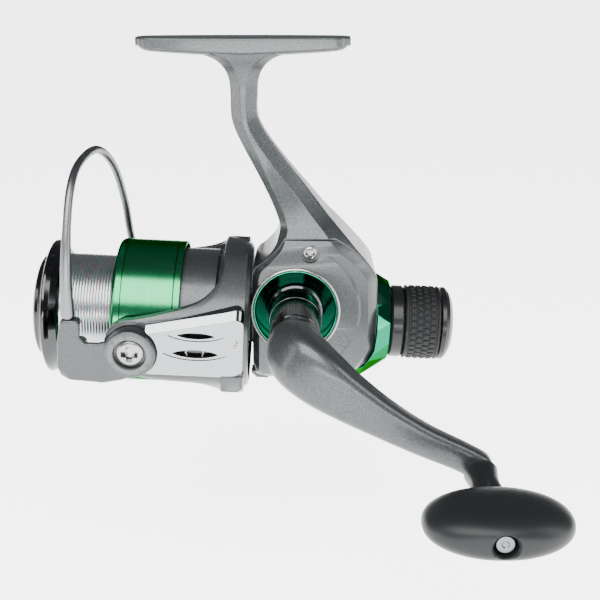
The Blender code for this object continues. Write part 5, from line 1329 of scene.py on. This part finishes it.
class DragKnobOperator(bpy.types.Operator):
    """Make the rear drag knob with its rubber grip"""

    bl_idname = "reel.drag_knob"
    bl_label = "Drag knob"

    def execute(self, context):
        drag_knob(context.scene.reel_sizes)
        return {"FINISHED"}


class LeverOperator(bpy.types.Operator):
    """Make the anti-reverse lever"""

    bl_idname = "reel.lever"
    bl_label = "Anti-reverse lever"

    def execute(self, context):
        lever()
        return {"FINISHED"}


class InsideOperator(bpy.types.Operator):
    """Give the gears, shafts, bearings and washers inside their finishes"""

    bl_idname = "reel.inside"
    bl_label = "Finishes inside"

    def execute(self, context):
        for node in frame["nodes"].values():
            if node.hide_render:
                continue
            word = node.data.materials[0].name.split(".")[0]
            node.data.materials.clear()
            node.data.materials.append(finish_named(word))
        return {"FINISHED"}


# Share of the key light's power, size, and place from the point that the camera looks at
LIGHTS = {
    "key": (1.0, (0.6, 0.45), (-0.1, -0.42, 0.46)),
    "left": (0.1, (0.12, 0.5), (-0.5, -0.25, 0.12)),
    "right": (0.25, (0.2, 0.5), (0.5, -0.22, 0.2)),
    "front": (0.22, (0.5, 0.06), (0.05, -0.6, 0.02)),
}
FLOOR_HALF, FLOOR_GLOW = 30.0, 4.6
SKY_COLOUR, SKY_STRENGTH = (0.9, 0.95, 1.0, 1.0), 0.22
LOOK_AT = (1.4 * MM, 0, 5.5 * MM)


def soft_light(name, power, size, place, look):
    """A square soft box that faces a point."""
    lamp = bpy.data.lights.new(name, "AREA")
    lamp.shape = "RECTANGLE"
    lamp.size, lamp.size_y = size
    lamp.energy = power
    made = bpy.data.objects.new(name, lamp)
    made.location = place
    made.rotation_euler = (Vector(look) - Vector(place)).to_track_quat("-Z", "Y").to_euler()
    bpy.context.scene.collection.objects.link(made)


class StageOperator(bpy.types.Operator):
    """Make the camera, the pale floor and the soft studio lights"""

    bl_idname = "reel.stage"
    bl_label = "Stage"

    def execute(self, context):
        view = context.scene.reel_view
        target = PLACES["level"].translation + Vector(LOOK_AT)
        lens = bpy.data.cameras.new("camera")
        lens.lens = view.lens
        lens.clip_start = 0.01
        camera = bpy.data.objects.new("camera", lens)
        pitch = view.pitch
        camera.location = target + Vector((0, -math.cos(pitch), math.sin(pitch))) * view.distance
        camera.rotation_euler = (math.pi / 2 - pitch, 0, 0)
        context.scene.collection.objects.link(camera)
        context.scene.camera = camera

        bm = bmesh.new()
        bmesh.ops.create_grid(bm, x_segments=1, y_segments=1, size=FLOOR_HALF)
        mesh = bpy.data.meshes.new("floor")
        bm.to_mesh(mesh)
        bm.free()
        floor = bpy.data.objects.new("floor", mesh)
        floor.location.z = -view.floor_drop
        context.scene.collection.objects.link(floor)
        pale = tuple(context.scene.reel_colours.floor)
        paper = Finish(
            "studio_paper", Base_Color=pale, Roughness=0.9, Emission_Color=pale, Emission_Strength=FLOOR_GLOW
        )
        paper.feed(paper.shader.inputs["Roughness"], 0.85 + paper.noise(400.0, 3.0) * 0.1)
        mesh.materials.append(paper.material)

        world = bpy.data.worlds.new("studio")
        world.use_nodes = True
        sky = world.node_tree.nodes["Background"]
        sky.inputs["Color"].default_value = SKY_COLOUR
        sky.inputs["Strength"].default_value = SKY_STRENGTH
        context.scene.world = world
        for name, (share, size, place) in LIGHTS.items():
            soft_light(name, view.light * share, size, target + Vector(place), target)
        return {"FINISHED"}


ORDER = (
    HousingOperator, SideCoverOperator, DishOperator, RearCoverOperator, HandleOperator, KnobOperator,
    RotorOperator,
    CoversOperator, BailOperator, SpoolOperator, DragKnobOperator, LeverOperator, InsideOperator,
    StageOperator,
)


class ReelPanel(bpy.types.Panel):
    """Lists the reel's operators, sizes and colours"""

    bl_idname = "VIEW3D_PT_reel"
    bl_label = "Spinning reel"
    bl_space_type = "VIEW_3D"
    bl_region_type = "UI"
    bl_category = "Reel"

    def draw(self, context):
        for group in (context.scene.reel_sizes, context.scene.reel_colours, context.scene.reel_view):
            for key in group.__annotations__:
                self.layout.prop(group, key)
        for operator in ORDER:
            self.layout.operator(operator.bl_idname)


CLASSES = (ReelSizes, ReelColours, ReelView, *ORDER, ReelPanel)


def register():
    for item in CLASSES:
        bpy.utils.register_class(item)
    bpy.types.Scene.reel_sizes = bpy.props.PointerProperty(type=ReelSizes)
    bpy.types.Scene.reel_colours = bpy.props.PointerProperty(type=ReelColours)
    bpy.types.Scene.reel_view = bpy.props.PointerProperty(type=ReelView)


def unregister():
    del bpy.types.Scene.reel_view
    del bpy.types.Scene.reel_colours
    del bpy.types.Scene.reel_sizes
    for item in reversed(CLASSES):
        bpy.utils.unregister_class(item)


def main():
    register()
    for operator in ORDER:
        group, name = operator.bl_idname.split(".")
        getattr(getattr(bpy.ops, group), name)()


if __name__ == "__main__":
    main()
